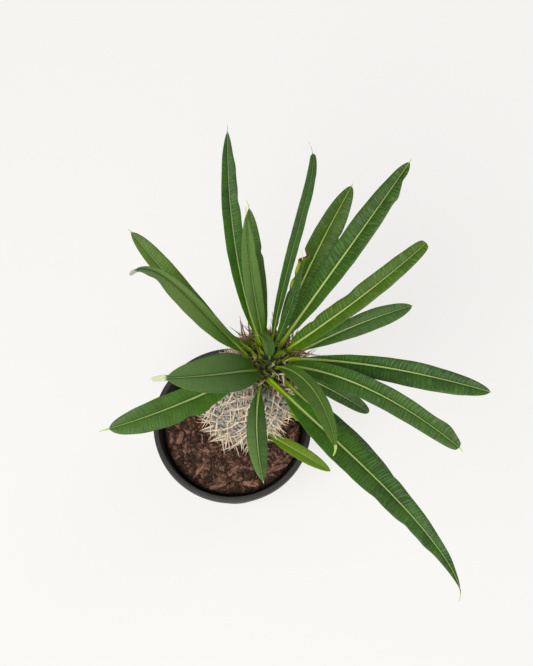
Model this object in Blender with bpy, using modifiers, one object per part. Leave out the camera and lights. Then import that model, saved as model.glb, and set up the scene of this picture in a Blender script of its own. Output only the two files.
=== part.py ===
"""Potted pachypodium: a spiny, bottle-shaped stem with a rosette of strap leaves, in a plain nursery pot.

Metres, +Z up. The origin is the centre of the pot's underside. Leaf and bark tables are in millimetres
and degrees. Angles turn anticlockwise from +X when seen from above.
"""

import math
from collections import namedtuple

import bmesh
import bpy
import numpy as np
from mathutils import Vector
from mathutils.bvhtree import BVHTree
from mathutils.noise import random_unit_vector, seed_set

MM = 0.001
MERGE = 0.00002
# Running gap between neighbouring solids, and the one that a leaf's cut foot keeps
GAP = 0.0003
SEAT_GAP = 0.00035
SEAT_REACH = 0.006

# Pot
RIM_RADIUS = 0.060
POT_HEIGHT = 0.105
BASE_RADIUS = 0.041
WALL = 0.0014
FLOOR = 0.0018
LIP_WIDTH = 0.0040
LIP_HEIGHT = 0.010
LIP_ROUND = 0.0008
FOOT_ROUND = 0.0015
DRAIN_COUNT = 8
DRAIN_SIDES = 10
DRAIN_RADIUS = 0.0035
DRAIN_RING = 0.029
ROUND_SIDES = 48

# Soil
SOIL_TOP = 0.092
SOIL_EDGE_DROP = 0.0015
SOIL_FLAT_RADIUS = 0.0525

# Stem: its radius at heights above the table, and how its axis leans
STEM_PROFILE = (
    (0.0700, 0.0120),
    (0.0760, 0.0175),
    (0.0920, 0.0215),
    (0.1150, 0.0245),
    (0.1400, 0.0268),
    (0.1650, 0.0278),
    (0.1900, 0.0265),
    (0.2100, 0.0238),
    (0.2250, 0.0203),
    (0.2380, 0.0152),
    (0.2460, 0.0100),
    (0.2500, 0.0055),
)
STEM_TOP = 0.252
STEM_FOOT = (0.004, 0.0095)
STEM_LEAN = 0.023
LEAN_FROM = 0.080
LEAN_TO = 0.220
STEM_SIDES = 32
STEM_ROWS = 34
ROOT_DEPTH = 0.0016
TUBERCLE_HEIGHT = 0.0012
TUBERCLES_FROM = 0.097
TUBERCLES_TO = 0.226
SPINE_EVERY = 8
SPINE_SHIFT = 3
SPINE_LENGTH = 0.009
SPINE_BASE = 0.0007
SPINE_TIP = 0.0002
SPINE_RISE = 0.35
SPINES_FROM = 0.108
SPINES_TO = 0.208
CLEAR_OF_SEAT = 0.013

# Leaves: where each is seated on the stem (height, angle), how it sets off (heading, rise), how much
# it droops and turns along its length (power 1 is an even curve, above 1 one that comes late), its
# length and width, where it is widest (share of length), how blunt its tip is (small is blunt),
# its roll about the midrib, and the thread-like awn at its tip (length, turn)
Leaf = namedtuple(
    "Leaf",
    "name height angle heading rise droop droop_power turn turn_power "
    "length width widest tip roll awn awn_turn",
)
LEAVES = (
    Leaf("leaf_01", 247.5, 125, 129, 60, 38, 1, -40, 0.5, 152, 12.4, 0.53, 0.60, 15, 5, 0),
    Leaf("leaf_02", 248.0, 98, 108, 70, 32, 1, -14, 1, 108, 11.5, 0.60, 0.60, 0, 6, 30),
    Leaf("leaf_03", 250.5, 118, 117, 78, 26, 1, -25, 1, 123, 11, 0.55, 0.70, 0, 6, 10),
    Leaf("leaf_04", 247.5, 78, 70, 76, 39, 1, 26, 12, 155, 8, 0.68, 0.22, 38, 8, 35),
    Leaf("leaf_05", 244.0, 62, 61, 57, 34, 1, -3, 1, 123, 17.5, 0.58, 0.54, 8, 2, 10),
    Leaf("leaf_06", 246.5, 42, 41, 60, 38, 1, 12, 1, 160, 17.5, 0.58, 0.55, -6, 3, 20),
    Leaf("leaf_07", 243.5, 22, 18, 52, 37, 1, 22, 1, 126, 14.5, 0.48, 0.25, 0, 0, 0),
    Leaf("leaf_08", 235.5, 14, 22, 29, 25, 1, -6, 1, 88, 15, 0.63, 0.60, -4, 1, 0),
    Leaf("leaf_09", 243.5, -4, -15, 45, 39, 1, -4, 0.5, 148, 16.5, 0.64, 0.55, 8, 1, 0),
    Leaf("leaf_10", 243.5, -28, -26, 55, 49, 1, -17, 1, 153, 14.6, 0.55, 0.30, 22, 4, -30),
    Leaf("leaf_11", 235.5, -24, -29, 22, 28, 1, -4, 1, 61, 11, 0.60, 0.45, 0, 0, 0),
    Leaf("leaf_12", 247.0, -58, -35, 67, 51, 1, -47, 0.9, 110, 11.6, 0.56, 0.48, 10, 8, -35),
    Leaf("leaf_13", 241.0, -92, -50, 29, 95, 4, -13, 9, 210, 20.3, 0.42, 1.20, 0, 12, -40),
    Leaf("leaf_14", 234.5, -50, -49, 18, 30, 1, 10, 1, 102, 15, 0.50, 0.80, 20, 0, 0),
    Leaf("leaf_15", 234.5, -108, -99, 44, 24, 1, 20, 1, 90, 13, 0.57, 0.62, 0, 2, 0),
    Leaf("leaf_16", 244.0, -125, -134, 72, 42, 1, -35, 1, 101, 25.5, 0.49, 0.62, -16, 12, 10),
    Leaf("leaf_17", 238.5, -150, -143, 26, 27, 1, -20, 1, 104, 20.4, 0.56, 0.52, -16, 7, 0),
    Leaf("leaf_18", 243.0, -178, 147, 50, 0, 1, 88, 6.4, 123, 13.5, 0.50, 0.57, 0, 11, 30),
    Leaf("leaf_19", 243.0, 155, 158, 45, 26, 1, -28, 0.8, 117, 12.5, 0.70, 0.58, 0, 3, 15),
    Leaf("leaf_20", 251.4, -75, 80, 90, 38, 1, 115, 2, 34, 8, 0.60, 0.55, 0, 6, 15),
    Leaf("leaf_21", 250.5, 48, 40, 76, 22, 1, 38, 1, 90, 6.6, 0.50, 0.80, 0, 8, 30),
    Leaf("leaf_22", 251.0, -20, -10, 72, 20, 1, 0, 1, 16, 5, 0.50, 0.70, 0, 0, 0),
    Leaf("leaf_low", 134.0, -62, -35, 22, 32, 1, 5, 1, 58, 10.5, 0.52, 0.62, 0, 0, 0),
    Leaf("leaf_stub", 195.0, -55, -44, 15, 30, 1, 0, 1, 14, 5, 0.55, 0.60, 0, 0, 0),
)
LEAF_STATIONS = 12
MIDRIB_STEPS = 60
PETIOLE_SHARE = 0.07
STALKY_SHARE = 0.175
PETIOLE_WIDTH = 0.18
PETIOLE_THICKNESS = 0.0022
BLADE_THICKNESS = 0.0007
KEEL = 0.0009
FOLD = 0.22
SHOULDER = 0.62
SLENDER_WIDTH = 9.0
AWN_STATIONS = 2
AWN_RADIUS = 0.0002

# Larger bark pieces that lie on the soil: place, direction, length, width, thickness
Bark = namedtuple("Bark", "name x y turn length width thickness")
BARK = (
    Bark("bark_01", 33.0, -32.0, 20, 19, 4.0, 2.2),
    Bark("bark_02", -22.0, -17.0, -25, 12, 4.0, 2.0),
    Bark("bark_03", -25.0, -33.0, 55, 12, 3.5, 2.4),
    Bark("bark_04", 1.0, -33.0, 35, 11, 4.0, 2.2),
    Bark("bark_05", -40.0, -8.0, 70, 11, 5.0, 2.6),
    Bark("bark_06", 14.0, -44.0, -10, 13, 4.5, 2.4),
    Bark("bark_07", -12.0, -46.0, 15, 12, 4.0, 2.2),
    Bark("bark_08", 45.0, -10.0, 80, 13, 4.5, 2.4),
    Bark("bark_09", -37.0, 24.0, -50, 14, 5.0, 2.5),
    Bark("bark_10", -6.0, 47.0, 12, 15, 5.0, 2.6),
    Bark("bark_11", 41.0, 25.0, 120, 14, 4.5, 2.4),
)
BARK_TAPER = 0.5
BARK_BEVEL = 0.0007
BARK_ROUGHNESS = 0.0005

COLOURS = {
    "pot_plastic": ((0.018, 0.018, 0.019), 0.45),
    "potting_mix": ((0.060, 0.028, 0.018), 0.95),
    "stem_skin": ((0.36, 0.34, 0.28), 0.75),
    "leaf_green": ((0.035, 0.115, 0.020), 0.42),
    "bark": ((0.130, 0.060, 0.034), 0.90),
}


def clear_scene():
    for item in list(bpy.data.objects):
        bpy.data.objects.remove(item)


def new_collection(name):
    group = bpy.data.collections.new(name)
    bpy.context.scene.collection.children.link(group)
    return group


def make_material(name):
    colour, roughness = COLOURS[name]
    material = bpy.data.materials.new(name)
    material.use_nodes = True
    shader = material.node_tree.nodes["Principled BSDF"]
    shader.inputs["Base Color"].default_value = (*colour, 1)
    shader.inputs["Roughness"].default_value = roughness
    shader.inputs["Metallic"].default_value = 0
    return material


def add_object(name, mesh, group, material=None):
    item = bpy.data.objects.new(name, mesh)
    group.objects.link(item)
    if material is not None:
        mesh.materials.append(material)
    return item


def mesh_from(bm, name):
    mesh = bpy.data.meshes.new(name)
    bm.to_mesh(mesh)
    bm.free()
    return mesh


def turned(name, profile, group, material=None, sides=ROUND_SIDES):
    """A solid turned about Z from a profile of (radius, height) that runs down its outer side."""
    bm = bmesh.new()
    points = [bm.verts.new((radius, 0, height)) for radius, height in profile]
    for first, second in zip(points, points[1:]):
        bm.edges.new((first, second))
    if profile[0][0] > 0:
        bm.edges.new((points[-1], points[0]))
    item = add_object(name, mesh_from(bm, name), group, material)
    screw = item.modifiers.new("turn", "SCREW")
    screw.steps = sides
    screw.render_steps = sides
    screw.use_merge_vertices = True
    screw.merge_threshold = MERGE / 2
    return item


def applied(item):
    """Puts the item's evaluated mesh in place of its own and clears its modifiers."""
    graph = bpy.context.evaluated_depsgraph_get()
    mesh = bpy.data.meshes.new_from_object(item.evaluated_get(graph))
    item.modifiers.clear()
    item.data = mesh
    return item


def cut(item, cutter):
    step = item.modifiers.new("cut", "BOOLEAN")
    step.operation = "DIFFERENCE"
    step.solver = "EXACT"
    step.object = cutter
    cutter.hide_render = True
    cutter.display_type = "WIRE"


# ---------------------------------------------------------------- pot and soil


def inner_radius(height):
    """The inside of the pot's tapered wall."""
    share = height / POT_HEIGHT
    foot = BASE_RADIUS - WALL
    mouth = RIM_RADIUS - LIP_WIDTH
    return foot + (mouth - foot) * share


def make_pot(group, cutters, material):
    """A tapered shell with a folded-over lip, whose skirt stands clear of the wall, and drain holes."""
    skirt_foot = POT_HEIGHT - LIP_HEIGHT
    lip_under = POT_HEIGHT - WALL
    profile = (
        (RIM_RADIUS - LIP_ROUND, POT_HEIGHT),
        (RIM_RADIUS, POT_HEIGHT - LIP_ROUND),
        (RIM_RADIUS, skirt_foot),
        (RIM_RADIUS - WALL, skirt_foot),
        (RIM_RADIUS - WALL, lip_under),
        (inner_radius(lip_under) + WALL, lip_under),
        (inner_radius(FOOT_ROUND) + WALL, FOOT_ROUND),
        (BASE_RADIUS - FOOT_ROUND, 0.0),
        (0.0, 0.0),
        (0.0, FLOOR),
        (inner_radius(FLOOR), FLOOR),
        (inner_radius(POT_HEIGHT - LIP_ROUND), POT_HEIGHT - LIP_ROUND),
        (inner_radius(POT_HEIGHT) + LIP_ROUND, POT_HEIGHT),
    )
    pot = turned("pot", profile, group, material)
    cut(pot, drain_cutter(cutters))
    return pot


def drain_cutter(cutters):
    bm = bmesh.new()
    for index in range(DRAIN_COUNT):
        angle = math.tau * (index + 0.5) / DRAIN_COUNT
        made = bmesh.ops.create_cone(
            bm,
            cap_ends=True,
            segments=DRAIN_SIDES,
            radius1=DRAIN_RADIUS,
            radius2=DRAIN_RADIUS,
            depth=FLOOR * 4,
        )
        place = Vector((math.cos(angle), math.sin(angle), 0)) * DRAIN_RING
        bmesh.ops.translate(bm, verts=made["verts"], vec=place)
    return add_object("drain_cutter", mesh_from(bm, "drain_cutter"), cutters)


def make_soil(group, cutters, material):
    """The plug of potting mix, with a pocket for the buried foot of the stem."""
    edge_top = SOIL_TOP - SOIL_EDGE_DROP
    bottom = FLOOR + GAP
    profile = (
        (0.0, SOIL_TOP),
        (SOIL_FLAT_RADIUS, SOIL_TOP),
        (inner_radius(edge_top) - GAP, edge_top),
        (inner_radius(bottom) - GAP, bottom),
        (0.0, bottom),
    )
    soil = turned("soil", profile, group, material)
    pocket = stem_body("pocket_cutter", cutters, None, grow=GAP, top=SOIL_TOP + 0.006)
    cut(soil, pocket)
    return soil


# ---------------------------------------------------------------- stem


def stem_radius(height):
    """A smooth curve through the profile's points, closing to nothing at the top."""
    heights = [point[0] for point in STEM_PROFILE]
    radii = [point[1] for point in STEM_PROFILE]
    if height >= heights[-1]:
        share = (STEM_TOP - height) / (STEM_TOP - heights[-1])
        return radii[-1] * math.sqrt(max(share, 0.0))
    index = int(np.clip(np.searchsorted(heights, height) - 1, 0, len(heights) - 2))
    before = max(index - 1, 0)
    after = min(index + 2, len(heights) - 1)
    span = heights[index + 1] - heights[index]
    share = (height - heights[index]) / span
    slope_in = (radii[index + 1] - radii[before]) / (heights[index + 1] - heights[before])
    slope_out = (radii[after] - radii[index]) / (heights[after] - heights[index])
    square = share * share
    cube = square * share
    return (
        (2 * cube - 3 * square + 1) * radii[index]
        + (cube - 2 * square + share) * span * slope_in
        + (3 * square - 2 * cube) * radii[index + 1]
        + (cube - square) * span * slope_out
    )


def stem_centre(height):
    """The stem's axis: it leans towards +X between two heights, and is upright below and above."""
    share = min(max((height - LEAN_FROM) / (LEAN_TO - LEAN_FROM), 0.0), 1.0)
    lean = STEM_LEAN * share * share * (3 - 2 * share)
    return Vector((STEM_FOOT[0] + lean, STEM_FOOT[1], height))


def stem_body(name, group, material, grow=0.0, top=STEM_TOP):
    """The stem's plain body. With grow and top it is the cutter of the pocket in the soil."""
    foot = STEM_PROFILE[0][0]
    heights = np.linspace(top, foot, STEM_ROWS)
    closed = top >= STEM_TOP
    profile = [] if closed else [(0.0, top + grow)]
    for height in heights:
        radius = stem_radius(height) + grow
        profile.append((0.0 if closed and height >= STEM_TOP else radius, height))
    profile.append((profile[-1][0] / 2, foot - ROOT_DEPTH * 0.75 - grow))
    profile.append((0.0, foot - ROOT_DEPTH - grow))
    body = applied(turned(name, profile, group, material, sides=STEM_SIDES))
    for vertex in body.data.vertices:
        centre = stem_centre(vertex.co.z)
        vertex.co.x += centre.x
        vertex.co.y += centre.y
    return body


def radial(position):
    """Unit vector from the stem's axis out to a point on its side."""
    out = position - stem_centre(position.z)
    out.z = 0
    return out.normalized() if out.length > 0 else Vector((0, 0, 1))


def leaf_seats():
    """Places on the stem where a leaf is seated, which stay smooth and free of spines."""
    return [seat_point(leaf) for leaf in LEAVES]


def make_stem(group, material):
    """The stem with its tubercles in staggered rows and one stout spine on part of them."""
    stem = stem_body("stem", group, material)
    seats = leaf_seats()
    bm = bmesh.new()
    bm.from_mesh(stem.data)
    bmesh.ops.remove_doubles(bm, verts=bm.verts, dist=MERGE)
    rows = sorted({round(vertex.co.z, 6) for vertex in bm.verts})
    row_of = {height: index for index, height in enumerate(rows)}
    spined = []
    for vertex in bm.verts:
        height = vertex.co.z
        out = radial(vertex.co)
        column = round(math.atan2(out.y, out.x) / math.tau * STEM_SIDES)
        row = row_of[round(height, 6)]
        clear = min((vertex.co - seat).length for seat in seats) > CLEAR_OF_SEAT
        if not TUBERCLES_FROM < height < TUBERCLES_TO or (column + row) % 2 or not clear:
            continue
        vertex.co += out * TUBERCLE_HEIGHT
        if SPINES_FROM < height < SPINES_TO and (column + SPINE_SHIFT * row) % SPINE_EVERY == 0:
            spined.append(vertex)
    add_spines(bm, spined)
    bmesh.ops.recalc_face_normals(bm, faces=bm.faces)
    bm.to_mesh(stem.data)
    bm.free()
    return stem


def add_spines(bm, vertices):
    """Draws a spine out of each tubercle's peak."""
    made = bmesh.ops.bevel(
        bm, geom=vertices, offset=SPINE_BASE, affect="VERTICES", segments=1
    )
    largest = (3 * SPINE_BASE) ** 2
    peaks = [face for face in made["faces"] if face.calc_area() < largest]
    grown = bmesh.ops.extrude_discrete_faces(bm, faces=peaks)
    for face in grown["faces"]:
        middle = face.calc_center_median()
        out = (radial(middle) + Vector((0, 0, SPINE_RISE))).normalized()
        reach = max((vertex.co - middle).length for vertex in face.verts)
        for vertex in face.verts:
            aside = (vertex.co - middle) * (SPINE_TIP / reach)
            vertex.co = middle + aside + out * SPINE_LENGTH


# ---------------------------------------------------------------- leaves


def seat_point(leaf):
    """Where the leaf's stalk meets the stem."""
    height = leaf.height * MM
    angle = math.radians(leaf.angle)
    out = Vector((math.cos(angle), math.sin(angle), 0))
    return stem_centre(height) + out * stem_radius(height)


def direction(heading, rise):
    level = math.cos(math.radians(rise))
    turn = math.radians(heading)
    return Vector((level * math.cos(turn), level * math.sin(turn), math.sin(math.radians(rise))))


def course(leaf, share):
    """The midrib's heading and rise at a share of its length."""
    heading = leaf.heading + leaf.turn * share**leaf.turn_power
    rise = leaf.rise - leaf.droop * share**leaf.droop_power
    return heading, rise


def midrib(leaf):
    """Points and directions along the midrib, from the seat to the tip."""
    point = seat_point(leaf)
    stride = leaf.length * MM / MIDRIB_STEPS
    track = []
    for index in range(MIDRIB_STEPS + 1):
        share = index / MIDRIB_STEPS
        heading, rise = course(leaf, share)
        track.append((share, point.copy(), heading, rise))
        point += direction(*course(leaf, (index + 0.5) / MIDRIB_STEPS)) * stride
    return track


def half_width(leaf, share):
    """Half the blade's width: a stalk, a widening blade and a tip as blunt as leaf.tip says."""
    stalk = leaf.width * MM * PETIOLE_WIDTH / 2
    if share <= PETIOLE_SHARE:
        return stalk
    along = (share - PETIOLE_SHARE) / (1 - PETIOLE_SHARE)
    if along >= 1:
        return AWN_RADIUS
    power = leaf.tip * leaf.widest / (1 - leaf.widest)
    swell = (along / leaf.widest) ** power
    swell *= ((1 - along) / (1 - leaf.widest)) ** leaf.tip
    blade = leaf.width * MM / 2 * swell
    return max(blade, stalk if share < 0.5 else AWN_RADIUS)


def across(heading, rise, roll):
    """The blade's sideways and upward directions at a station."""
    ahead = direction(heading, rise)
    turn = math.radians(heading)
    side = Vector((-math.sin(turn), math.cos(turn), 0))
    up = ahead.cross(side)
    angle = math.radians(roll)
    rolled_side = side * math.cos(angle) + up * math.sin(angle)
    rolled_up = up * math.cos(angle) - side * math.sin(angle)
    return ahead, rolled_side, rolled_up


def section(width, thickness, keel):
    """Eight points round a shallow V with a keel, as (sideways, upwards)."""
    lift = width * FOLD
    shoulder = lift * SHOULDER
    half = thickness / 2
    return (
        (-width, lift),
        (-width / 2, shoulder + half),
        (0.0, half * SHOULDER),
        (width / 2, shoulder + half),
        (width, lift),
        (width / 2, shoulder - half),
        (0.0, -half - keel),
        (-width / 2, shoulder - half),
    )


def leaf_rings(leaf):
    """Sections from the stalk through the blade to the awn."""
    track = midrib(leaf)
    scale = min(1.0, leaf.width / SLENDER_WIDTH)
    shares = [0.0, PETIOLE_SHARE / 2, PETIOLE_SHARE]
    blade = LEAF_STATIONS - len(shares)
    for index in range(1, blade + 1):
        along = math.sin(index / blade * math.pi / 2)
        shares.append(PETIOLE_SHARE + (1 - PETIOLE_SHARE) * along)
    rings = []
    for share in shares:
        _, point, heading, rise = track[round(share * MIDRIB_STEPS)]
        stalky = max(0.0, 1 - share / STALKY_SHARE)
        thickness = BLADE_THICKNESS + (PETIOLE_THICKNESS - BLADE_THICKNESS) * stalky
        keel = KEEL * (1 - share)
        width = half_width(leaf, share)
        if width <= AWN_RADIUS:
            thickness = AWN_RADIUS * 2
            keel = 0
        _, side, up = across(heading, rise, leaf.roll)
        outline = section(width, thickness * scale, keel * scale)
        rings.append([point + side * x + up * y for x, y in outline])
    return rings + awn_rings(leaf, track[-1])


def awn_rings(leaf, last):
    rings = []
    _, point, heading, rise = last
    point = point.copy()
    for index in range(AWN_STATIONS if leaf.awn else 0):
        heading += leaf.awn_turn / AWN_STATIONS
        ahead, side, up = across(heading, rise, leaf.roll)
        point += ahead * leaf.awn * MM / AWN_STATIONS
        radius = AWN_RADIUS * (1 - 0.3 * index)
        rings.append([point + side * x + up * y for x, y in section(radius, radius * 2, 0)])
    return rings


def seat_ring(ring, ahead, surface):
    """Moves the stalk's first section on to the stem, a small gap above its surface."""
    seated = []
    for point in ring:
        hit, normal, _, _ = surface.ray_cast(point + ahead * SEAT_REACH, -ahead, SEAT_REACH * 5)
        if hit is None:
            hit, normal, _, _ = surface.find_nearest(point)
        seated.append(hit + normal * SEAT_GAP)
    return seated


def make_leaf(leaf, surface, group, material):
    rings = leaf_rings(leaf)
    ahead = direction(leaf.heading, leaf.rise)
    rings[0] = seat_ring(rings[0], ahead, surface)
    bm = bmesh.new()
    loops = [[bm.verts.new(point) for point in ring] for ring in rings]
    count = len(loops[0])
    for lower, upper in zip(loops, loops[1:]):
        for index in range(count):
            after = (index + 1) % count
            bm.faces.new((lower[index], lower[after], upper[after], upper[index]))
    bm.faces.new(loops[0][::-1])
    bm.faces.new(loops[-1])
    bmesh.ops.triangulate(bm, faces=[face for face in bm.faces if len(face.verts) > 4])
    bmesh.ops.recalc_face_normals(bm, faces=bm.faces)
    return add_object(leaf.name, mesh_from(bm, leaf.name), group, material)


# ---------------------------------------------------------------- bark


def make_bark(piece, group, material):
    """A rough, bevelled splinter that lies flat on the soil."""
    bm = bmesh.new()
    bmesh.ops.create_cube(bm, size=1)
    bmesh.ops.scale(
        bm,
        verts=bm.verts,
        vec=(piece.length * MM, piece.width * MM, piece.thickness * MM),
    )
    long_edges = [
        edge
        for edge in bm.edges
        if abs(edge.verts[0].co.x - edge.verts[1].co.x) > piece.length * MM / 2
    ]
    bmesh.ops.subdivide_edges(bm, edges=long_edges, cuts=2, use_grid_fill=True)
    for vertex in bm.verts:
        vertex.co.y *= 1 - BARK_TAPER * abs(vertex.co.x) / (piece.length * MM)
        if vertex.co.z > 0:
            vertex.co += random_unit_vector() * BARK_ROUGHNESS
    item = add_object(piece.name, mesh_from(bm, piece.name), group, material)
    bevel = item.modifiers.new("edges", "BEVEL")
    bevel.width = BARK_BEVEL
    bevel.segments = 1
    rest = SOIL_TOP + GAP + piece.thickness * MM / 2
    item.location = (piece.x * MM, piece.y * MM, rest)
    item.rotation_euler = (0, 0, math.radians(piece.turn))
    return item


def main():
    clear_scene()
    seed_set(7)
    parts = new_collection("potted_pachypodium")
    cutters = new_collection("cutters")
    materials = {name: make_material(name) for name in COLOURS}
    pot = make_pot(parts, cutters, materials["pot_plastic"])
    make_soil(parts, cutters, materials["potting_mix"])
    stem = make_stem(parts, materials["stem_skin"])
    graph = bpy.context.evaluated_depsgraph_get()
    surface = BVHTree.FromObject(stem, graph)
    for leaf in LEAVES:
        made = make_leaf(leaf, surface, parts, materials["leaf_green"])
        made.data.shade_smooth()
    for piece in BARK:
        make_bark(piece, parts, materials["bark"])
    pot.data.shade_smooth()


main()
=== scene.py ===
"""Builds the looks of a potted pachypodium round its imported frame.

The file is laid out as an add-on: the sizes and colours are properties of the scene, each group of
pieces has an operator, and the panel in the sidebar lists them. Run as a script, it makes all of them.
"""

import math
import random
from collections import namedtuple

import bmesh
import bpy
import numpy as np
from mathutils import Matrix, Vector, kdtree, noise


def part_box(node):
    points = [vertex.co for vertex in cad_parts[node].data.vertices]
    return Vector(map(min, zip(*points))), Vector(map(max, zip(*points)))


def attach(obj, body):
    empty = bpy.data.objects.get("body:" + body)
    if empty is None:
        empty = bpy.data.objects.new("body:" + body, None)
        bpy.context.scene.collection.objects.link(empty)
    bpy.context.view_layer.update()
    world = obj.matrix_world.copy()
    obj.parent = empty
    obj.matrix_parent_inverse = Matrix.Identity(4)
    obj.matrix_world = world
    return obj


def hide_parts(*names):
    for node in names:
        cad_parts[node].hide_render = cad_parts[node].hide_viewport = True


bl_info = {
    "name": "Potted Pachypodium",
    "version": (1, 0, 0),
    "blender": (4, 5, 0),
    "location": "View3D > Sidebar > Plant",
    "description": "Builds a spiny stem with strap leaves in a nursery pot",
    "category": "Add Mesh",
}

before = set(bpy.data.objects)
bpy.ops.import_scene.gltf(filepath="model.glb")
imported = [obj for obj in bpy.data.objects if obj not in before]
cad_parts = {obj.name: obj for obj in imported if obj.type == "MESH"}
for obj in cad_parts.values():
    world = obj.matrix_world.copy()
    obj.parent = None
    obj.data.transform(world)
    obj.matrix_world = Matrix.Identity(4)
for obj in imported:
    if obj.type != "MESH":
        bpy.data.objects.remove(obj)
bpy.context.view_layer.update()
BODY = "root"
MM = 0.001

# ---------------------------------------------------------------- shape tables, as in the CAD source

_, POT_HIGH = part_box("pot")
SOIL_LOW, SOIL_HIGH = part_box("soil")
STEM_LOW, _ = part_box("stem")

# Height and radius of the stem, its foot and how far it leans between two heights, in metres
STEM_PROFILE = (
    (0.0700, 0.0120),
    (0.0760, 0.0175),
    (0.0920, 0.0215),
    (0.1150, 0.0245),
    (0.1400, 0.0268),
    (0.1650, 0.0278),
    (0.1900, 0.0265),
    (0.2100, 0.0238),
    (0.2250, 0.0203),
    (0.2380, 0.0152),
    (0.2460, 0.0100),
    (0.2500, 0.0055),
)
STEM_TOP = 0.252
STEM_FOOT = (0.004, 0.0095)
STEM_LEAN = 0.023
LEAN_FROM = 0.080
LEAN_TO = 0.220

# Heights between which the stem changes, in metres
BARE_BAND = (0.078, 0.090)  # the smooth foot gives way to tubercles
STOUT_BAND = (0.120, 0.160)  # spines below are stouter
SHY_BAND = (0.150, 0.190)  # spines below are fewer on the side that the stem leans to
CROWDED_BAND = (0.212, 0.240)  # tubercles crowd together
FLATTER_BAND = (0.222, 0.240)  # and stand out less
YOUNG_BAND = (0.208, 0.232)  # old spines give way to young ones
LAST_OLD_BAND = (0.222, 0.230)  # and none of the old ones is left
SHORTER_BAND = (0.236, 0.248)  # young spines are shorter again
THIN_FROM = 0.195
TOP_SEAT = 0.2495

# Leaves: seat height in mm and angle on the stem, heading and rise of the midrib where it starts, how
# far it droops and turns and how late (a power of the share of the length), length and width in mm,
# the widest place as a share, how sharp the tip is (a power), roll, and the awn's length in mm and turn.
# Angles are in degrees.
Leaf = namedtuple(
    "Leaf",
    "name height angle heading rise droop droop_power turn turn_power "
    "length width widest tip roll awn awn_turn",
)
LEAVES = (
    Leaf("leaf_01", 247.5, 125, 129, 60, 38, 1, -40, 0.5, 152, 12.4, 0.53, 0.60, 15, 5, 0),
    Leaf("leaf_02", 248.0, 98, 108, 70, 32, 1, -14, 1, 108, 11.5, 0.60, 0.60, 0, 6, 30),
    Leaf("leaf_03", 250.5, 118, 117, 78, 26, 1, -25, 1, 123, 11, 0.55, 0.70, 0, 6, 10),
    Leaf("leaf_04", 247.5, 78, 70, 76, 39, 1, 26, 12, 155, 8, 0.68, 0.22, 38, 8, 35),
    Leaf("leaf_05", 244.0, 62, 61, 57, 34, 1, -3, 1, 123, 17.5, 0.58, 0.54, 8, 2, 10),
    Leaf("leaf_06", 246.5, 42, 41, 60, 38, 1, 12, 1, 160, 17.5, 0.58, 0.55, -6, 3, 20),
    Leaf("leaf_07", 243.5, 22, 18, 52, 37, 1, 22, 1, 126, 14.5, 0.48, 0.25, 0, 0, 0),
    Leaf("leaf_08", 235.5, 14, 22, 29, 25, 1, -6, 1, 88, 15, 0.63, 0.60, -4, 1, 0),
    Leaf("leaf_09", 243.5, -4, -15, 45, 39, 1, -4, 0.5, 148, 16.5, 0.64, 0.55, 8, 1, 0),
    Leaf("leaf_10", 243.5, -28, -26, 55, 49, 1, -17, 1, 153, 14.6, 0.55, 0.30, 22, 4, -30),
    Leaf("leaf_11", 235.5, -24, -29, 22, 28, 1, -4, 1, 61, 11, 0.60, 0.45, 0, 0, 0),
    Leaf("leaf_12", 247.0, -58, -35, 67, 51, 1, -47, 0.9, 110, 11.6, 0.56, 0.48, 10, 8, -35),
    Leaf("leaf_13", 241.0, -92, -50, 29, 95, 4, -13, 9, 210, 20.3, 0.42, 1.20, 0, 12, -40),
    Leaf("leaf_14", 234.5, -50, -49, 18, 30, 1, 10, 1, 102, 15, 0.50, 0.80, 20, 0, 0),
    Leaf("leaf_15", 234.5, -108, -99, 44, 24, 1, 20, 1, 90, 13, 0.57, 0.62, 0, 2, 0),
    Leaf("leaf_16", 244.0, -125, -134, 72, 42, 1, -35, 1, 101, 25.5, 0.49, 0.62, -16, 12, 10),
    Leaf("leaf_17", 238.5, -150, -143, 26, 27, 1, -20, 1, 104, 20.4, 0.56, 0.52, -16, 7, 0),
    Leaf("leaf_18", 243.0, -178, 147, 50, 0, 1, 88, 6.4, 123, 13.5, 0.50, 0.57, 0, 11, 30),
    Leaf("leaf_19", 243.0, 155, 158, 45, 26, 1, -28, 0.8, 117, 12.5, 0.70, 0.58, 0, 3, 15),
    Leaf("leaf_20", 251.4, -75, 80, 90, 38, 1, 115, 2, 34, 8, 0.60, 0.55, 0, 6, 15),
    Leaf("leaf_21", 250.5, 48, 40, 76, 22, 1, 38, 1, 90, 6.6, 0.50, 0.80, 0, 8, 30),
    Leaf("leaf_22", 251.0, -20, -10, 72, 20, 1, 0, 1, 16, 5, 0.50, 0.70, 0, 0, 0),
    Leaf("leaf_low", 134.0, -62, -35, 22, 32, 1, 5, 1, 58, 10.5, 0.52, 0.62, 0, 0, 0),
    Leaf("leaf_stub", 195.0, -55, -44, 15, 30, 1, 0, 1, 14, 5, 0.55, 0.60, 0, 0, 0),
)
MIDRIB_STEPS = 60
PETIOLE_SHARE = 0.07  # stalk, as a share of the leaf's length
STALKY_SHARE = 0.175  # where the stalk's thickness has run out into the blade
PETIOLE_WIDTH = 0.18  # as a share of the blade's width
PETIOLE_THICKNESS = 0.0022
KEEL = 0.0009  # how far the midrib stands out below
SLENDER_WIDTH = 9.0  # leaves narrower than this, in mm, are thinner too
TIP_RADIUS = 0.0002
LEAF_DRIFT = 0.004  # the furthest that a blade may lie off its CAD leaf

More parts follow.
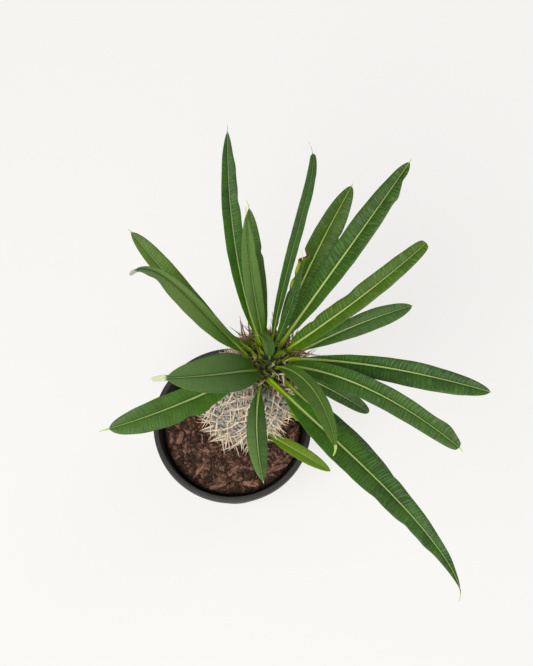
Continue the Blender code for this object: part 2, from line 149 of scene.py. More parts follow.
# How young and yellow-green each leaf is, how blue-green, how wavy its margins are, how much wider
# its left half is than its right one, how clearly its veins show, how much painted sheen pales it (or,
# below 0, how much painted shade darkens it), how clearly its midrib shows, and how much paler its left
# half is than its right one, as painted light from one side
Look = namedtuple("Look", "young blue wave lean veins pale ribs split", defaults=(0.0,))
LOOKS = {
    "leaf_01": Look(0.0, 0.42, 0.8, 0.0, 0.3, 0.05, 0.55, -0.9),
    "leaf_02": Look(0.05, 0.3, 1.0, -0.12, 0.35, 0.32, 0.4),
    "leaf_03": Look(0.10, 0.6, 0.8, 0.0, 0.35, 0.55, 0.3),
    "leaf_04": Look(0.0, 0.6, 0.6, 0.12, 0.3, 0.1, 0.4),
    "leaf_05": Look(0.15, 0.1, 1.0, -0.10, 0.8, -0.6, 0.85),
    "leaf_06": Look(0.05, 0.3, 0.9, 0.0, 1.0, -0.22, 0.9),
    "leaf_07": Look(0.2, 0.5, 1.0, 0.0, 1.2, -0.25, 0.85),
    "leaf_08": Look(0.0, 0.7, 0.6, -0.15, 0.5, 0.3, 0.75),
    "leaf_09": Look(0.0, 0.45, 0.9, -0.17, 0.75, 0.05, 0.95),
    "leaf_10": Look(0.0, 0.4, 0.9, 0.0, 1.0, 0.22, 0.85),
    "leaf_11": Look(0.0, 0.6, 0.7, 0.0, 0.6, 0.2, 0.75),
    "leaf_12": Look(0.12, 0.3, 0.6, -0.20, 0.4, 0.25, 0.6),
    "leaf_13": Look(0.0, 0.5, 1.3, -0.10, 0.65, 0.08, 0.8),
    "leaf_14": Look(0.0, 0.5, 0.9, 0.0, 0.8, 0.1, 0.8),
    "leaf_15": Look(0.0, 0.9, 0.6, 0.0, 0.3, 0.62, 0.95, -0.6),
    "leaf_16": Look(0.0, 0.7, 0.3, 0.0, 0.15, 0.55, 0.6),
    "leaf_17": Look(0.05, 0.3, 0.9, 0.11, 0.35, 0.2, 0.75),
    "leaf_18": Look(0.1, 0.6, 0.4, 0.46, 0.15, 0.95, 0.25),
    "leaf_19": Look(0.2, 0.3, 0.6, -0.16, 0.4, 0.35, 0.5),
    "leaf_20": Look(0.1, 0.8, 0.4, 0.0, 0.3, 0.5, 0.15, 0.7),
    "leaf_21": Look(0.0, 0.6, 0.4, 0.0, 0.5, -0.1, 0.35),
    "leaf_22": Look(0.4, 0.0, 0.3, 0.0, 0.3, -0.2, 0.5),
    "leaf_low": Look(0.55, 0.0, 0.6, 0.0, 0.5, -0.3, 0.6),
    "leaf_stub": Look(0.9, 0.0, 0.4, 0.0, 0.3, 0.0, 0.5),
}

# How many times broader than thick an awn is, where it isn't round
BROAD_AWNS = {"leaf_12": 2.6, "leaf_16": 5.0, "leaf_17": 2.0, "leaf_18": 4.0, "leaf_19": 1.5}
PALE_AWNS = ("leaf_16", "leaf_18")

# Places where a margin is bitten or swells: side (1 is the left seen from the stalk), share of the
# length, length of the place in mm, how far in it goes as a share of the half width, and browning
Mark = namedtuple("Mark", "side share span depth brown")
MARKS = {
    "leaf_01": (Mark(-1, 0.72, 5, 0.14, 0.0), Mark(-1, 0.86, 6, -0.12, 0.0)),
    "leaf_02": (Mark(-1, 0.73, 3, 0.16, 0.0),),
    "leaf_03": (Mark(-1, 0.77, 5, 0.12, 0.0),),
    "leaf_05": (
        Mark(1, 0.572, 2.6, 0.38, 1.0),
        Mark(1, 0.536, 1.6, -0.10, 1.0),
        Mark(1, 0.440, 2.6, 0.18, 1.0),
        Mark(1, 0.355, 2.0, 0.14, 1.0),
        Mark(-1, 0.74, 2.2, 0.06, 0.0),
    ),
    "leaf_06": (Mark(-1, 0.865, 4, -0.16, 0.0), Mark(-1, 0.93, 4.5, 0.26, 0.0)),
    "leaf_07": (Mark(1, 0.27, 3, 0.14, 0.0), Mark(1, 0.52, 7, 0.10, 0.0)),
    "leaf_10": (Mark(1, 0.92, 8, -0.30, 0.0),),
    "leaf_13": (
        Mark(1, 0.55, 6, 0.12, 0.0),
        Mark(-1, 0.60, 7, 0.08, 0.0),
        Mark(-1, 0.72, 5, 0.12, 0.0),
        Mark(-1, 0.80, 5, -0.10, 0.0),
    ),
    "leaf_17": (Mark(1, 0.42, 7, -0.14, 0.0), Mark(1, 0.52, 4, 0.10, 0.0)),
    "leaf_18": (Mark(1, 0.84, 10, 0.30, 0.0),),
}

# Leaves with a yellowed left margin, and the stretch of it as two shares of the leaf's length
YELLOWED = {"leaf_05": (0.345, 0.58)}

# Bark pieces that lie on the soil: name, turn about Z in degrees, length, width, thickness in mm
Bark = namedtuple("Bark", "name turn length width thickness")
BARK = (
    Bark("bark_01", 20, 19, 4.0, 2.2),
    Bark("bark_02", -25, 12, 4.0, 2.0),
    Bark("bark_03", 55, 12, 3.5, 2.4),
    Bark("bark_04", 35, 11, 4.0, 2.2),
    Bark("bark_05", 70, 11, 5.0, 2.6),
    Bark("bark_06", -10, 13, 4.5, 2.4),
    Bark("bark_07", 15, 12, 4.0, 2.2),
    Bark("bark_08", 80, 13, 4.5, 2.4),
    Bark("bark_09", -50, 14, 5.0, 2.5),
    Bark("bark_10", 12, 15, 5.0, 2.6),
    Bark("bark_11", 120, 14, 4.5, 2.4),
)

# ---------------------------------------------------------------- settings


def size(name, default, description):
    """A length that a user may change, in metres."""
    return bpy.props.FloatProperty(
        name=name, description=description, default=default, min=0, precision=5, unit="LENGTH"
    )


def share(name, default, description):
    """A part of a whole, from 0 to 1."""
    return bpy.props.FloatProperty(
        name=name, description=description, default=default, min=0, max=1, subtype="FACTOR"
    )


def tilt(name, degrees, description):
    """An angle, given in degrees."""
    return bpy.props.FloatProperty(
        name=name, description=description, default=math.radians(degrees), subtype="ANGLE"
    )


def number(name, default, description):
    """A whole number of things."""
    return bpy.props.IntProperty(name=name, description=description, default=default, min=1)


def tint(name, default, description):
    """A linear colour that a user may change."""
    return bpy.props.FloatVectorProperty(
        name=name, description=description, default=default, min=0, max=1, size=3, subtype="COLOR"
    )


class PotSettings(bpy.types.PropertyGroup):
    """Sizes and colours of the nursery pot."""

    rim_radius: size("Rim radius", POT_HIGH.x, "Outside radius of the lip")
    base_radius: size("Base radius", 0.041, "Outside radius of the base")
    height: size("Height", POT_HIGH.z, "From the table to the top of the lip")
    wall: size("Wall", 0.0014, "Thickness of the wall")
    floor: size("Floor", 0.0018, "Thickness of the base")
    lip_width: size("Lip width", 0.0040, "From the mouth out to the edge of the lip")
    lip_height: size("Lip height", 0.0072, "Height of the skirt below the lip")
    drain_count: number("Drain holes", 8, "Number of holes in the base")
    drain_radius: size("Drain hole radius", 0.0035, "Radius of each hole")
    drain_ring: size("Drain ring", 0.029, "Radius of the ring that the holes are on")
    plastic: tint("Plastic", (0.026, 0.0255, 0.025), "Black plastic")
    scuffed: tint("Scuffs", (0.060, 0.058, 0.056), "Rubbed and dusty plastic")


class SoilSettings(bpy.types.PropertyGroup):
    """Sizes and colours of the potting mix and the bark on it."""

    chips: number("Chips per square cm", 25, "How densely the coarse chips lie")
    chip_length: size("Chip length", 0.0060, "Longest coarse chip")
    chip_width: size("Chip width", 0.0038, "Widest coarse chip")
    crumbs: number("Crumbs per square cm", 56, "How densely the fine crumbs lie")
    crumb_size: size("Crumb size", 0.0024, "Longest fine crumb")
    slivers: number("Slivers per square cm", 1, "How densely the pale slivers lie")
    moat: size("Moat", 0.0020, "Bare gap between the chips and the wall")
    # Near-black painted shade for the deep places between the chips and by the wall; on the bark it also
    # marks dirty patches
    gap: tint("Gaps", (0.006, 0.0038, 0.0028), "Deep between the chips")
    dark: tint("Dark bark", (0.042, 0.021, 0.013), "Damp bark and coir")
    brown: tint("Brown bark", (0.212, 0.108, 0.074), "Drier bark")
    pale: tint("Pale wood", (0.520, 0.340, 0.220), "Slivers of bare wood")
    reddish: tint("Reddish bark", (0.320, 0.158, 0.106), "The larger pieces of bark")


class StemSettings(bpy.types.PropertyGroup):
    """Sizes and colours of the stem."""

    pitch: size("Tubercle pitch", 0.0080, "Distance between neighbouring tubercles")
    crown_pitch: size("Crown pitch", 0.0042, "Distance between the tubercles at the top")
    relief: size("Tubercle height", 0.0024, "How far a tubercle stands out")
    wobble: size("Wobble", 0.0006, "How uneven the skin is")
    skin: tint("Skin", (0.290, 0.305, 0.262), "Grey-green skin on the tubercles")
    cork: tint("Cork", (0.250, 0.210, 0.160), "Corky, browner skin")
    speckle: tint("Specks", (0.620, 0.610, 0.550), "Pale specks of old bloom")
    scar: tint("Scars", (0.340, 0.240, 0.150), "Where the spines stand")
    crown: tint("Crown", (0.026, 0.036, 0.006), "Young dark skin at the top")
    # Near-black painted shade for the creases between the tubercles, on the stem and at the crown
    crease: tint("Creases", (0.018, 0.015, 0.012), "Between the tubercles")
    hollow: tint("Crown creases", (0.005, 0.007, 0.002), "Between the tubercles at the top")


class SpineSettings(bpy.types.PropertyGroup):
    """Sizes and colours of the spines."""

    length: size("Length", 0.0138, "Length of a spine on the stem")
    crown_length: size("Crown length", 0.0190, "Length of a spine round the crown")
    radius: size("Radius", 0.00070, "Radius at the foot of a spine")
    bend: size("Bend", 0.0010, "How far a spine bends off its line")
    cream: tint("Cream", (0.800, 0.710, 0.560), "Old spines")
    tan: tint("Tan", (0.660, 0.540, 0.390), "Weathered patches of old spines")
    amber: tint("Amber", (0.560, 0.250, 0.110), "Tips of old spines")
    straw: tint("Straw", (0.260, 0.180, 0.080), "Feet of the young spines")
    russet: tint("Russet", (0.228, 0.128, 0.070), "Young spines round the crown")


class BudSettings(bpy.types.PropertyGroup):
    """Sizes and colours of the young leaves on the crown."""

    lowest: size("Lowest", 0.2330, "Height of the lowest young leaf")
    length: size("Length", 0.0094, "Length of a young leaf")
    width: size("Half width", 0.0013, "Half the width of a young leaf")
    foot: tint("Foot", (0.260, 0.340, 0.030), "Foot of a young leaf")
    blade: tint("Blade", (0.125, 0.215, 0.002), "Young leaf")
    dark: tint("Dark", (0.042, 0.056, 0.006), "Dried or shaded young leaf")


class LeafSettings(bpy.types.PropertyGroup):
    """Sizes and colours of the leaves."""

    thickness: size("Blade thickness", 0.0007, "Thickness of the blade")
    fold: share("Fold", 0.22, "How far the margins stand above the midrib")
    vein_pitch: size("Vein pitch", 0.0026, "Distance between side veins")
    wave: size("Margin wave", 0.0009, "How far the margins wave up and down")
    awn: size("Awn radius", 0.00036, "Radius of the thread at a tip")
    deep: tint("Deep green", (0.011, 0.040, 0.003), "Between the veins and beside the midrib")
    bright: tint("Bright green", (0.032, 0.098, 0.003), "Where light comes through the blade")
    vivid: tint("Vivid green", (0.038, 0.130, 0.001), "The half of a blade near the stem")
    # Painted sheen: leaves and half blades are paled towards this colour where they catch the light
    pale: tint("Pale green", (0.118, 0.205, 0.056), "Leaves paled by age or by a soft bloom")
    rim: tint("Margin", (0.110, 0.190, 0.045), "The thickened edge of a blade")
    blue: tint("Blue green", (0.028, 0.072, 0.018), "Waxy bloom on old leaves")
    # Painted sheen: pale streaks that stand in for the gloss on the quilted outer blade
    frost: tint("Frost", (0.102, 0.168, 0.064), "Fine pale streaks on the outer blade")
    young: tint("Young green", (0.180, 0.290, 0.004), "Young leaves")
    stalk: tint("Stalk", (0.270, 0.370, 0.010), "Leaf stalks and the foot of the midrib")
    vein: tint("Veins", (0.085, 0.200, 0.022), "Side veins")
    midrib: tint("Midrib", (0.380, 0.480, 0.160), "Pale midrib")
    under: tint("Underside", (0.100, 0.190, 0.070), "Underside of the blade")
    thread: tint("Dry awn", (0.600, 0.640, 0.440), "Thread at the tip, once it has dried")
    fresh_thread: tint("Green awn", (0.400, 0.510, 0.100), "Thread at the tip, while it is green")
    sunny: tint("Yellowed", (0.420, 0.520, 0.006), "Yellowed margin beside a bite")
    scorched: tint("Damage", (0.060, 0.028, 0.012), "Dead margin of a bitten leaf")


class StageSettings(bpy.types.PropertyGroup):
    """The camera, the floor and the lights."""

    aim: bpy.props.FloatVectorProperty(
        name="Aim",
        description="Point that the camera looks at",
        default=(0.0258, 0.0653, 0.1262),
        size=3,
        unit="LENGTH",
        subtype="TRANSLATION",
    )
    elevation: tilt("Elevation", 72, "Height of the camera above the horizon")
    distance: size("Distance", 1.0792, "From the camera to its aim")
    lens: bpy.props.FloatProperty(
        name="Lens", description="Focal length in millimetres", default=77, unit="CAMERA"
    )
    floor: tint("Floor", (0.225, 0.222, 0.218), "Pale floor")
    floor_reach: size("Floor reach", 20.0, "From the middle of the floor to each side")
    glow_tint: tint("Glow colour", (0.913, 0.905, 0.888), "Colour of the light that the floor gives")
    glow: bpy.props.FloatProperty(
        name="Floor glow", description="Light that the floor gives off", default=0.757, min=0
    )
    sky: bpy.props.FloatProperty(
        name="Room light", description="Strength of the even light", default=0.40, min=0
    )
    sky_tint: tint("Room colour", (1.0, 0.990, 0.975), "Colour of the even light")
    key: bpy.props.FloatProperty(
        name="Key light", description="Power of the main light", default=31, min=0, unit="POWER"
    )
    key_tint: tint("Key colour", (1.0, 0.985, 0.960), "Colour of the main light")
    fill: bpy.props.FloatProperty(
        name="Fill light", description="Power of the second light", default=4, min=0, unit="POWER"
    )
    fill_tint: tint("Fill colour", (0.970, 0.985, 1.0), "Colour of the second light")


# ---------------------------------------------------------------- node trees


HALVES = (0.5, 0.5, 0.5)


class Graph:
    """A node tree, with short ways to add the nodes that the trees here are made of."""

    def __init__(self, tree):
        self.tree = tree

    def node(self, kind, inputs, **settings):
        """Adds a node. Inputs are keyed by name or number, and a socket is linked."""
        made = self.tree.nodes.new(kind)
        for key, value in settings.items():
            setattr(made, key, value)
        for key, value in inputs.items():
            socket = made.inputs[key] if isinstance(key, int) else enabled(made.inputs, key)
            if is_socket(value):
                self.tree.links.new(value, socket)
            else:
                socket.default_value = value
        return made

    def math(self, operation, first, second=0.0):
        made = self.node("ShaderNodeMath", {0: first, 1: second}, operation=operation)
        return made.outputs[0]

    def times(self, first, second):
        return self.math("MULTIPLY", first, second)

    def plus(self, first, second):
        return self.math("ADD", first, second)

    def flip(self, value):
        return self.math("SUBTRACT", 1.0, value)

    def vector(self, operation, first, second):
        made = self.node("ShaderNodeVectorMath", {0: first, 1: second}, operation=operation)
        return made.outputs[0]

    def scaled(self, vector, factor):
        made = self.node("ShaderNodeVectorMath", {0: vector, "Scale": factor}, operation="SCALE")
        return made.outputs[0]

    def smooth(self, value, low, high):
        """0 below low and 1 above high, with a soft step between."""
        inputs = {"Value": value, "From Min": low, "From Max": high}
        made = self.node("ShaderNodeMapRange", inputs, interpolation_type="SMOOTHSTEP")
        return made.outputs[0]

    def between(self, value, low, high):
        """A value of 0 to 1 brought to low to high."""
        made = self.node("ShaderNodeMapRange", {"Value": value, "To Min": low, "To Max": high})
        return made.outputs[0]

    def blend(self, factor, first, second):
        """Mixes two colours, each a socket or a setting."""
        first, second = (value if is_socket(value) else rgba(value) for value in (first, second))
        made = self.node("ShaderNodeMix", {0: factor, 6: first, 7: second}, data_type="RGBA")
        return made.outputs[2]

    def noise(self, vector, scale, detail=2.0, roughness=0.5, colour=False):
        inputs = {"Vector": vector, "Scale": scale, "Detail": detail, "Roughness": roughness}
        made = self.node("ShaderNodeTexNoise", inputs)
        return made.outputs["Color" if colour else "Fac"]

    def shake(self, vector, scale, detail):
        """A random vector that changes from place to place, about nothing on average."""
        return self.vector("SUBTRACT", self.noise(vector, scale, detail, colour=True), HALVES)

    def cells(self, vector, scale, feature="F1"):
        made = self.node("ShaderNodeTexVoronoi", {"Vector": vector, "Scale": scale}, feature=feature)
        return made.outputs["Distance"]

    def join(self, x, y, z):
        return self.node("ShaderNodeCombineXYZ", {0: x, 1: y, 2: z}).outputs[0]

    def split(self, vector):
        return self.node("ShaderNodeSeparateXYZ", {0: vector}).outputs

    def from_axis(self, vector):
        """How far a place lies from the Z axis."""
        x, y, _ = self.split(vector)
        made = self.node("ShaderNodeVectorMath", {0: self.join(x, y, 0.0)}, operation="LENGTH")
        return made.outputs["Value"]


def is_socket(value):
    return isinstance(value, bpy.types.NodeSocket)


def enabled(sockets, name):
    """The socket of that name that the node's settings switch on."""
    return next(socket for socket in sockets if socket.enabled and socket.name == name)


def rgba(colour):
    return (colour[0], colour[1], colour[2], 1.0)


class Finish(Graph):
    """A surface material built from nodes."""

    def __init__(self, name):
        self.material = bpy.data.materials.new(name)
        self.material.use_nodes = True
        super().__init__(self.material.node_tree)
        self.shader = self.tree.nodes["Principled BSDF"]
        self.place = self.node("ShaderNodeTexCoord", {}).outputs["Object"]

    def mark(self, name, vector=False):
        """A value or vector that the mesh carries."""
        made = self.node("ShaderNodeAttribute", {}, attribute_name=name)
        return made.outputs["Vector" if vector else "Fac"]

    def feed(self, name, value):
        self.tree.links.new(value, self.shader.inputs[name])

    def fix(self, name, value):
        """Sets a value that is the same all over on the shader's own socket."""
        self.shader.inputs[name].default_value = value

    def emboss(self, *layers):
        """Bumps the surface by (height, distance in metres) layers, one on the other."""
        normal = None
        for height, distance in layers:
            inputs = {"Strength": 1.0, "Distance": distance, "Height": height}
            if normal is not None:
                inputs["Normal"] = normal
            normal = self.node("ShaderNodeBump", inputs).outputs["Normal"]
        self.feed("Normal", normal)


class Builder(Graph):
    """A geometry tree with named inputs, from one geometry to another."""

    def __init__(self, name, controls):
        super().__init__(bpy.data.node_groups.new(name, "GeometryNodeTree"))
        face = self.tree.interface
        face.new_socket("Geometry", in_out="INPUT", socket_type="NodeSocketGeometry")
        for label, kind, default in controls:
            socket = face.new_socket(label, in_out="INPUT", socket_type="NodeSocket" + kind)
            if default is not None:
                socket.default_value = default
        face.new_socket("Geometry", in_out="OUTPUT", socket_type="NodeSocketGeometry")
        self.given = self.tree.nodes.new("NodeGroupInput").outputs

    def place(self):
        return self.node("GeometryNodeInputPosition", {}).outputs[0]

    def read(self, name, kind="FLOAT"):
        inputs = {"Name": name}
        return self.node("GeometryNodeInputNamedAttribute", inputs, data_type=kind).outputs[0]

    def keep(self, geometry, name, value, kind="FLOAT", domain="POINT"):
        """Stores a value under a name on the geometry."""
        inputs = {"Geometry": geometry, "Name": name, "Value": value}
        made = self.node("GeometryNodeStoreNamedAttribute", inputs, data_type=kind, domain=domain)
        return made.outputs[0]

    def chance(self, low, high, seed, kind="FLOAT"):
        inputs = {"Min": low, "Max": high, "Seed": seed}
        made = self.node("FunctionNodeRandomValue", inputs, data_type=kind)
        return next(socket for socket in made.outputs if socket.enabled)

    def move(self, geometry, offset):
        inputs = {"Geometry": geometry, "Offset": offset}
        return self.node("GeometryNodeSetPosition", inputs).outputs[0]

    def put(self, geometry, position):
        inputs = {"Geometry": geometry, "Position": position}
        return self.node("GeometryNodeSetPosition", inputs).outputs[0]

    def spread(self, points, instance, rotation, scale):
        inputs = {"Points": points, "Instance": instance, "Rotation": rotation, "Scale": scale}
        return self.node("GeometryNodeInstanceOnPoints", inputs).outputs[0]

    def stand(self, width_at_top, shape_of, girth, seed):
        """Stands a shaped cone on every point along its aim, as long as its reach says."""
        inputs = {
            "Vertices": self.given["Sides"],
            "Side Segments": self.given["Rings"],
            "Radius Top": width_at_top,
            "Radius Bottom": 1.0,
            "Depth": 1.0,
        }
        cone = self.node("GeometryNodeMeshCone", inputs).outputs[0]
        x, y, z = self.split(self.place())
        cone = self.keep(cone, "along", z)
        if shape_of is not None:
            cone = self.put(cone, shape_of(x, y, z))
        inputs = {"Vector": self.read("aim", "FLOAT_VECTOR")}
        rotation = self.node("FunctionNodeAlignRotationToVector", inputs, axis="Z").outputs[0]
        scale = self.join(girth, girth, self.read("reach"))
        stood = self.spread(self.given["Geometry"], cone, rotation, scale)
        shade = self.chance(0.0, 1.0, seed)
        return self.realize(self.keep(stood, "shade", shade, domain="INSTANCE"))

    def realize(self, geometry):
        return self.node("GeometryNodeRealizeInstances", {"Geometry": geometry}).outputs[0]

    def end(self, geometry):
        """Sets the material and closes the tree."""
        inputs = {"Geometry": geometry, "Material": self.given["Material"]}
        finished = self.node("GeometryNodeSetMaterial", inputs).outputs[0]
        self.node("NodeGroupOutput", {"Geometry": finished})


def grow(item, tree, smooth=True, **values):
    """Runs a geometry tree on the item, makes the result its mesh and clears the modifier."""
    step = item.modifiers.new(tree.name, "NODES")
    step.node_group = tree
    for socket in tree.interface.items_tree:
        key = socket.name.replace(" ", "_").lower()
        if socket.in_out == "INPUT" and key in values:
            step[socket.identifier] = values.pop(key)
    if values:
        raise RuntimeError(f"{tree.name} has no input {sorted(values)}")
    settle(item)
    shade(item.data, smooth)


def settle(item):
    """Puts the item's evaluated mesh in place of its own and clears its modifiers."""
    graph = bpy.context.evaluated_depsgraph_get()
    mesh = bpy.data.meshes.new_from_object(
        item.evaluated_get(graph), preserve_all_data_layers=True, depsgraph=graph
    )
    item.modifiers.clear()
    item.data = mesh


# ---------------------------------------------------------------- meshes


def new_item(name, mesh, material=None, smooth=True):
    item = bpy.data.objects.new(name, mesh)
    bpy.context.scene.collection.objects.link(item)
    if material is not None:
        mesh.materials.append(material)
    shade(mesh, smooth)
    return item


def shade(mesh, smooth):
    if smooth:
        mesh.shade_smooth()
    else:
        mesh.shade_flat()


def mesh_of(name, points, faces=()):
    mesh = bpy.data.meshes.new(name)
    mesh.from_pydata([tuple(point) for point in points], (), faces)
    mesh.update()
    return mesh


def carry(mesh, name, values, kind="FLOAT"):
    """Writes one value or vector for each vertex under a name."""
    layer = mesh.attributes.new(name, kind, "POINT")
    flat = np.asarray(values, dtype=np.float32).ravel()
    layer.data.foreach_set("value" if kind == "FLOAT" else "vector", flat)


def outward(mesh):
    """Turns every face's normal outwards."""
    bm = bmesh.new()
    bm.from_mesh(mesh)
    bmesh.ops.recalc_face_normals(bm, faces=bm.faces)
    bm.to_mesh(mesh)
    bm.free()


def band_faces(rows, columns):
    """Quads between closed rows of points that lie one after the other."""
    faces = []
    for row in range(rows - 1):
        for column in range(columns):
            after = (column + 1) % columns
            low = row * columns
            faces.append((low + column, low + after, low + columns + after, low + columns + column))
    return faces


def tube_faces(rows, columns):
    """The faces of a closed tube, with a flat end on its first and last row."""
    last = (rows - 1) * columns
    ends = [tuple(range(columns)), tuple(range(last, last + columns))]
    return band_faces(rows, columns) + ends


def lathe(name, profile, sides):
    """A closed solid turned about Z from (radius, height) points that start and end on the axis."""
    points = [(0.0, 0.0, profile[0][1])]
    for radius, height in profile[1:-1]:
        for index in range(sides):
            angle = math.tau * index / sides
            points.append((radius * math.cos(angle), radius * math.sin(angle), height))
    points.append((0.0, 0.0, profile[-1][1]))
    rows = len(profile) - 2
    faces = [tuple(1 + corner for corner in face) for face in band_faces(rows, sides)]
    last = len(points) - 1
    for index in range(sides):
        after = (index + 1) % sides
        faces.append((0, 1 + after, 1 + index))
        faces.append((last, last - sides + index, last - sides + after))
    mesh = mesh_of(name, points, faces)
    outward(mesh)
    return mesh


def arc(centre, radius, start, end, steps):
    """Points of (radius, height) on a round corner, by angles in degrees."""
    turns = [math.radians(start + (end - start) * index / steps) for index in range(steps + 1)]
    return [(centre[0] + radius * math.cos(a), centre[1] + radius * math.sin(a)) for a in turns]


def ease(value, low, high):
    """0 below low and 1 above high, with a soft step between."""
    x = min(max((value - low) / (high - low), 0.0), 1.0)
    return x * x * (3 - 2 * x)


def seat(piece, slot, *nodes):
    """Hands a finished piece to the frame."""
    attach(piece, BODY)
    if nodes:
        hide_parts(*nodes)


# ---------------------------------------------------------------- pot


def plastic_finish(pot):
    """Black plastic, scuffed in level streaks and dusty in places."""
    made = Finish("pot_plastic")
    place = made.place
    broad = made.noise(place, 22, 3)
    streak = made.noise(made.vector("MULTIPLY", place, (260, 260, 1400)), 1, 4, 0.6)
    grain = made.noise(place, 2600, 2)
    scuff = made.times(made.smooth(broad, 0.42, 0.72), made.smooth(streak, 0.50, 0.68))
    colour = made.blend(made.times(scuff, 0.55), pot.plastic, pot.scuffed)
    dust = made.times(made.smooth(made.noise(place, 420, 5, 0.7), 0.60, 0.78), 0.22)
    made.feed("Base Color", made.blend(dust, colour, pot.scuffed))
    rough = made.plus(made.between(streak, 0.44, 0.60), made.times(scuff, 0.15))
    made.feed("Roughness", rough)
    made.fix("Specular IOR Level", 0.34)
    made.emboss((streak, 0.00004), (grain, 0.00002))
    return made.material


FLOOR_ROUND = 0.002
MOUTH_ROUND = 0.0009
LIP_ROUND = 0.0013
SKIRT_ROUND = 0.0006
BASE_ROUND = 0.0016
BASE_RING = 0.0035  # the base stands on a ring that ends this far in from its edge
BASE_DISH = 0.0004  # how high the base lies inside that ring


def wall_inside(pot, height):
    """The radius of the wall's inner face, which widens evenly from the foot to the mouth."""
    mouth = pot.rim_radius - pot.lip_width
    foot = pot.base_radius - pot.wall
    return foot + (mouth - foot) * height / pot.height


def pot_profile(pot):
    """The pot's section, from the middle of its inner floor round the lip to the middle below."""
    rim, top, base = pot.rim_radius, pot.height, pot.base_radius
    mouth = rim - pot.lip_width
    half_foot = (base - pot.wall) * 0.5
    skirt = top - pot.lip_height
    under = top - pot.wall
    corner = wall_inside(pot, pot.floor) - FLOOR_ROUND
    profile = [(0.0, pot.floor), (half_foot, pot.floor)]
    profile += arc((corner, pot.floor + FLOOR_ROUND), FLOOR_ROUND, -90, 0, 5)
    for step in range(1, 14):
        height = pot.floor + (top - pot.floor) * step / 14
        profile.append((wall_inside(pot, height), height))
    profile += arc((mouth + MOUTH_ROUND, top - MOUTH_ROUND), MOUTH_ROUND, 180, 90, 5)
    profile += arc((rim - LIP_ROUND, top - LIP_ROUND), LIP_ROUND, 90, 0, 6)
    profile.append((rim, top - pot.lip_height * 0.5))
    profile += arc((rim - SKIRT_ROUND, skirt + SKIRT_ROUND), SKIRT_ROUND, 0, -180, 6)
    profile.append((rim - pot.wall, skirt + pot.lip_height * 0.5))
    profile.append((rim - pot.wall, under))
    for step in range(12):
        height = under + (0.003 - under) * step / 11
        profile.append((wall_inside(pot, height) + pot.wall, height))
    profile += arc((base - BASE_ROUND, BASE_ROUND), BASE_ROUND, 0, -90, 5)
    profile += [(base - BASE_RING, 0.0), (base - 0.0042, BASE_DISH)]
    return profile + [(half_foot, BASE_DISH), (0.0, BASE_DISH)]


def drain_cutter(pot):
    """A ring of pegs where the drain holes go."""
    bm = bmesh.new()
    for index in range(pot.drain_count):
        angle = math.tau * (index + 0.5) / pot.drain_count
        made = bmesh.ops.create_cone(
            bm,
            cap_ends=True,
            segments=28,
            radius1=pot.drain_radius,
            radius2=pot.drain_radius,
            depth=pot.floor * 4,
        )
        place = Vector((math.cos(angle), math.sin(angle), 0)) * pot.drain_ring
        bmesh.ops.translate(bm, verts=made["verts"], vec=place)
    holes = bpy.data.meshes.new("drain_holes")
    bm.to_mesh(holes)
    bm.free()
    return new_item("drain_holes", holes)


def build_pot(pot):
    """One turned shell with a folded lip, drilled through its base."""
    shell = new_item("pot_shell", lathe("pot_shell", pot_profile(pot), 160), plastic_finish(pot))
    cutter = drain_cutter(pot)
    step = shell.modifiers.new("drain", "BOOLEAN")
    step.solver = "EXACT"
    step.object = cutter
    settle(shell)
    bpy.data.objects.remove(cutter)
    seat(shell, "pot_plastic", "pot")


# ---------------------------------------------------------------- soil and bark

WALL_GAP = 0.0004  # between the soil and the wall
BED_DROP = 0.0008  # how far the heaps' middle height lies below the CAD soil's top
HEAP = 0.0007
WALL_FALL = 0.0040  # how much lower the soil is beside the wall, and where it falls
FALL_BAND = (0.0490, 0.0530)
# Painted shade: the chips darken towards the near-black gap colour between these distances from the
# wall, as the wall's shadow
WALL_SHADE_BAND = (0.0060, 0.0010)  # the soil darkens between these distances from the wall


def mix_finish(soil):
    """Chips and crumbs: streaked along their own grain, each in a tone of its own, with painted shade
    darkening them near the wall.
    """
    made = Finish("potting_mix")
    tone = made.mark("tone")
    grain = made.mark("grain", vector=True)
    apart = made.join(made.times(tone, 37), made.times(tone, 91), 0.0)
    grain = made.vector("MULTIPLY", grain, (2.2, 13, 13))
    fibre = made.noise(made.vector("ADD", grain, apart), 1, 4, 0.65)
    patch = made.noise(made.place, 330, 4, 0.6)
    brown = made.blend(made.smooth(tone, 0.25, 0.80), soil.dark, soil.brown)
    brown = made.blend(made.smooth(patch, 0.30, 0.62), soil.dark, brown)
    pale = made.times(made.smooth(fibre, 0.52, 0.72), made.smooth(tone, 0.35, 0.95))
    worn = made.blend(made.times(pale, 0.75), brown, soil.pale)
    wood = made.times(made.smooth(tone, 0.965, 0.99), 0.8)
    worn = made.blend(wood, worn, soil.pale)
    # Painted shade: the chips darken towards the near-black gap colour close to the wall, as if in the
    # wall's shadow
    inside, outside = (SOIL_HIGH.x - gap for gap in WALL_SHADE_BAND)
    wall_shade = made.times(made.smooth(made.from_axis(made.place), inside, outside), 0.7)
    made.feed("Base Color", made.blend(wall_shade, worn, soil.gap))
    made.feed("Roughness", made.between(patch, 0.72, 0.98))
    made.fix("Specular IOR Level", 0.25)
    made.emboss((fibre, 0.00030), (made.noise(made.place, 1900, 3, 0.6), 0.00012))
    return made.material


def bed_finish(soil):
    """The fine mix that shows deep between the chips, mostly painted near-black as the shade down there.
    """
    made = Finish("soil_bed")
    speck = made.noise(made.place, 900, 4, 0.7)
    lump = made.cells(made.place, 520)
    # Painted shade: the bed is mottled between the near-black gap colour and dark bark, the near-black
    # standing in for the shade between the chips
    colour = made.blend(made.smooth(speck, 0.46, 0.72), soil.gap, soil.dark)
    made.feed("Base Color", colour)
    made.feed("Roughness", made.between(speck, 0.85, 1.0))
    made.fix("Specular IOR Level", 0.2)
    made.emboss((lump, 0.0006), (speck, 0.0003))
    return made.material


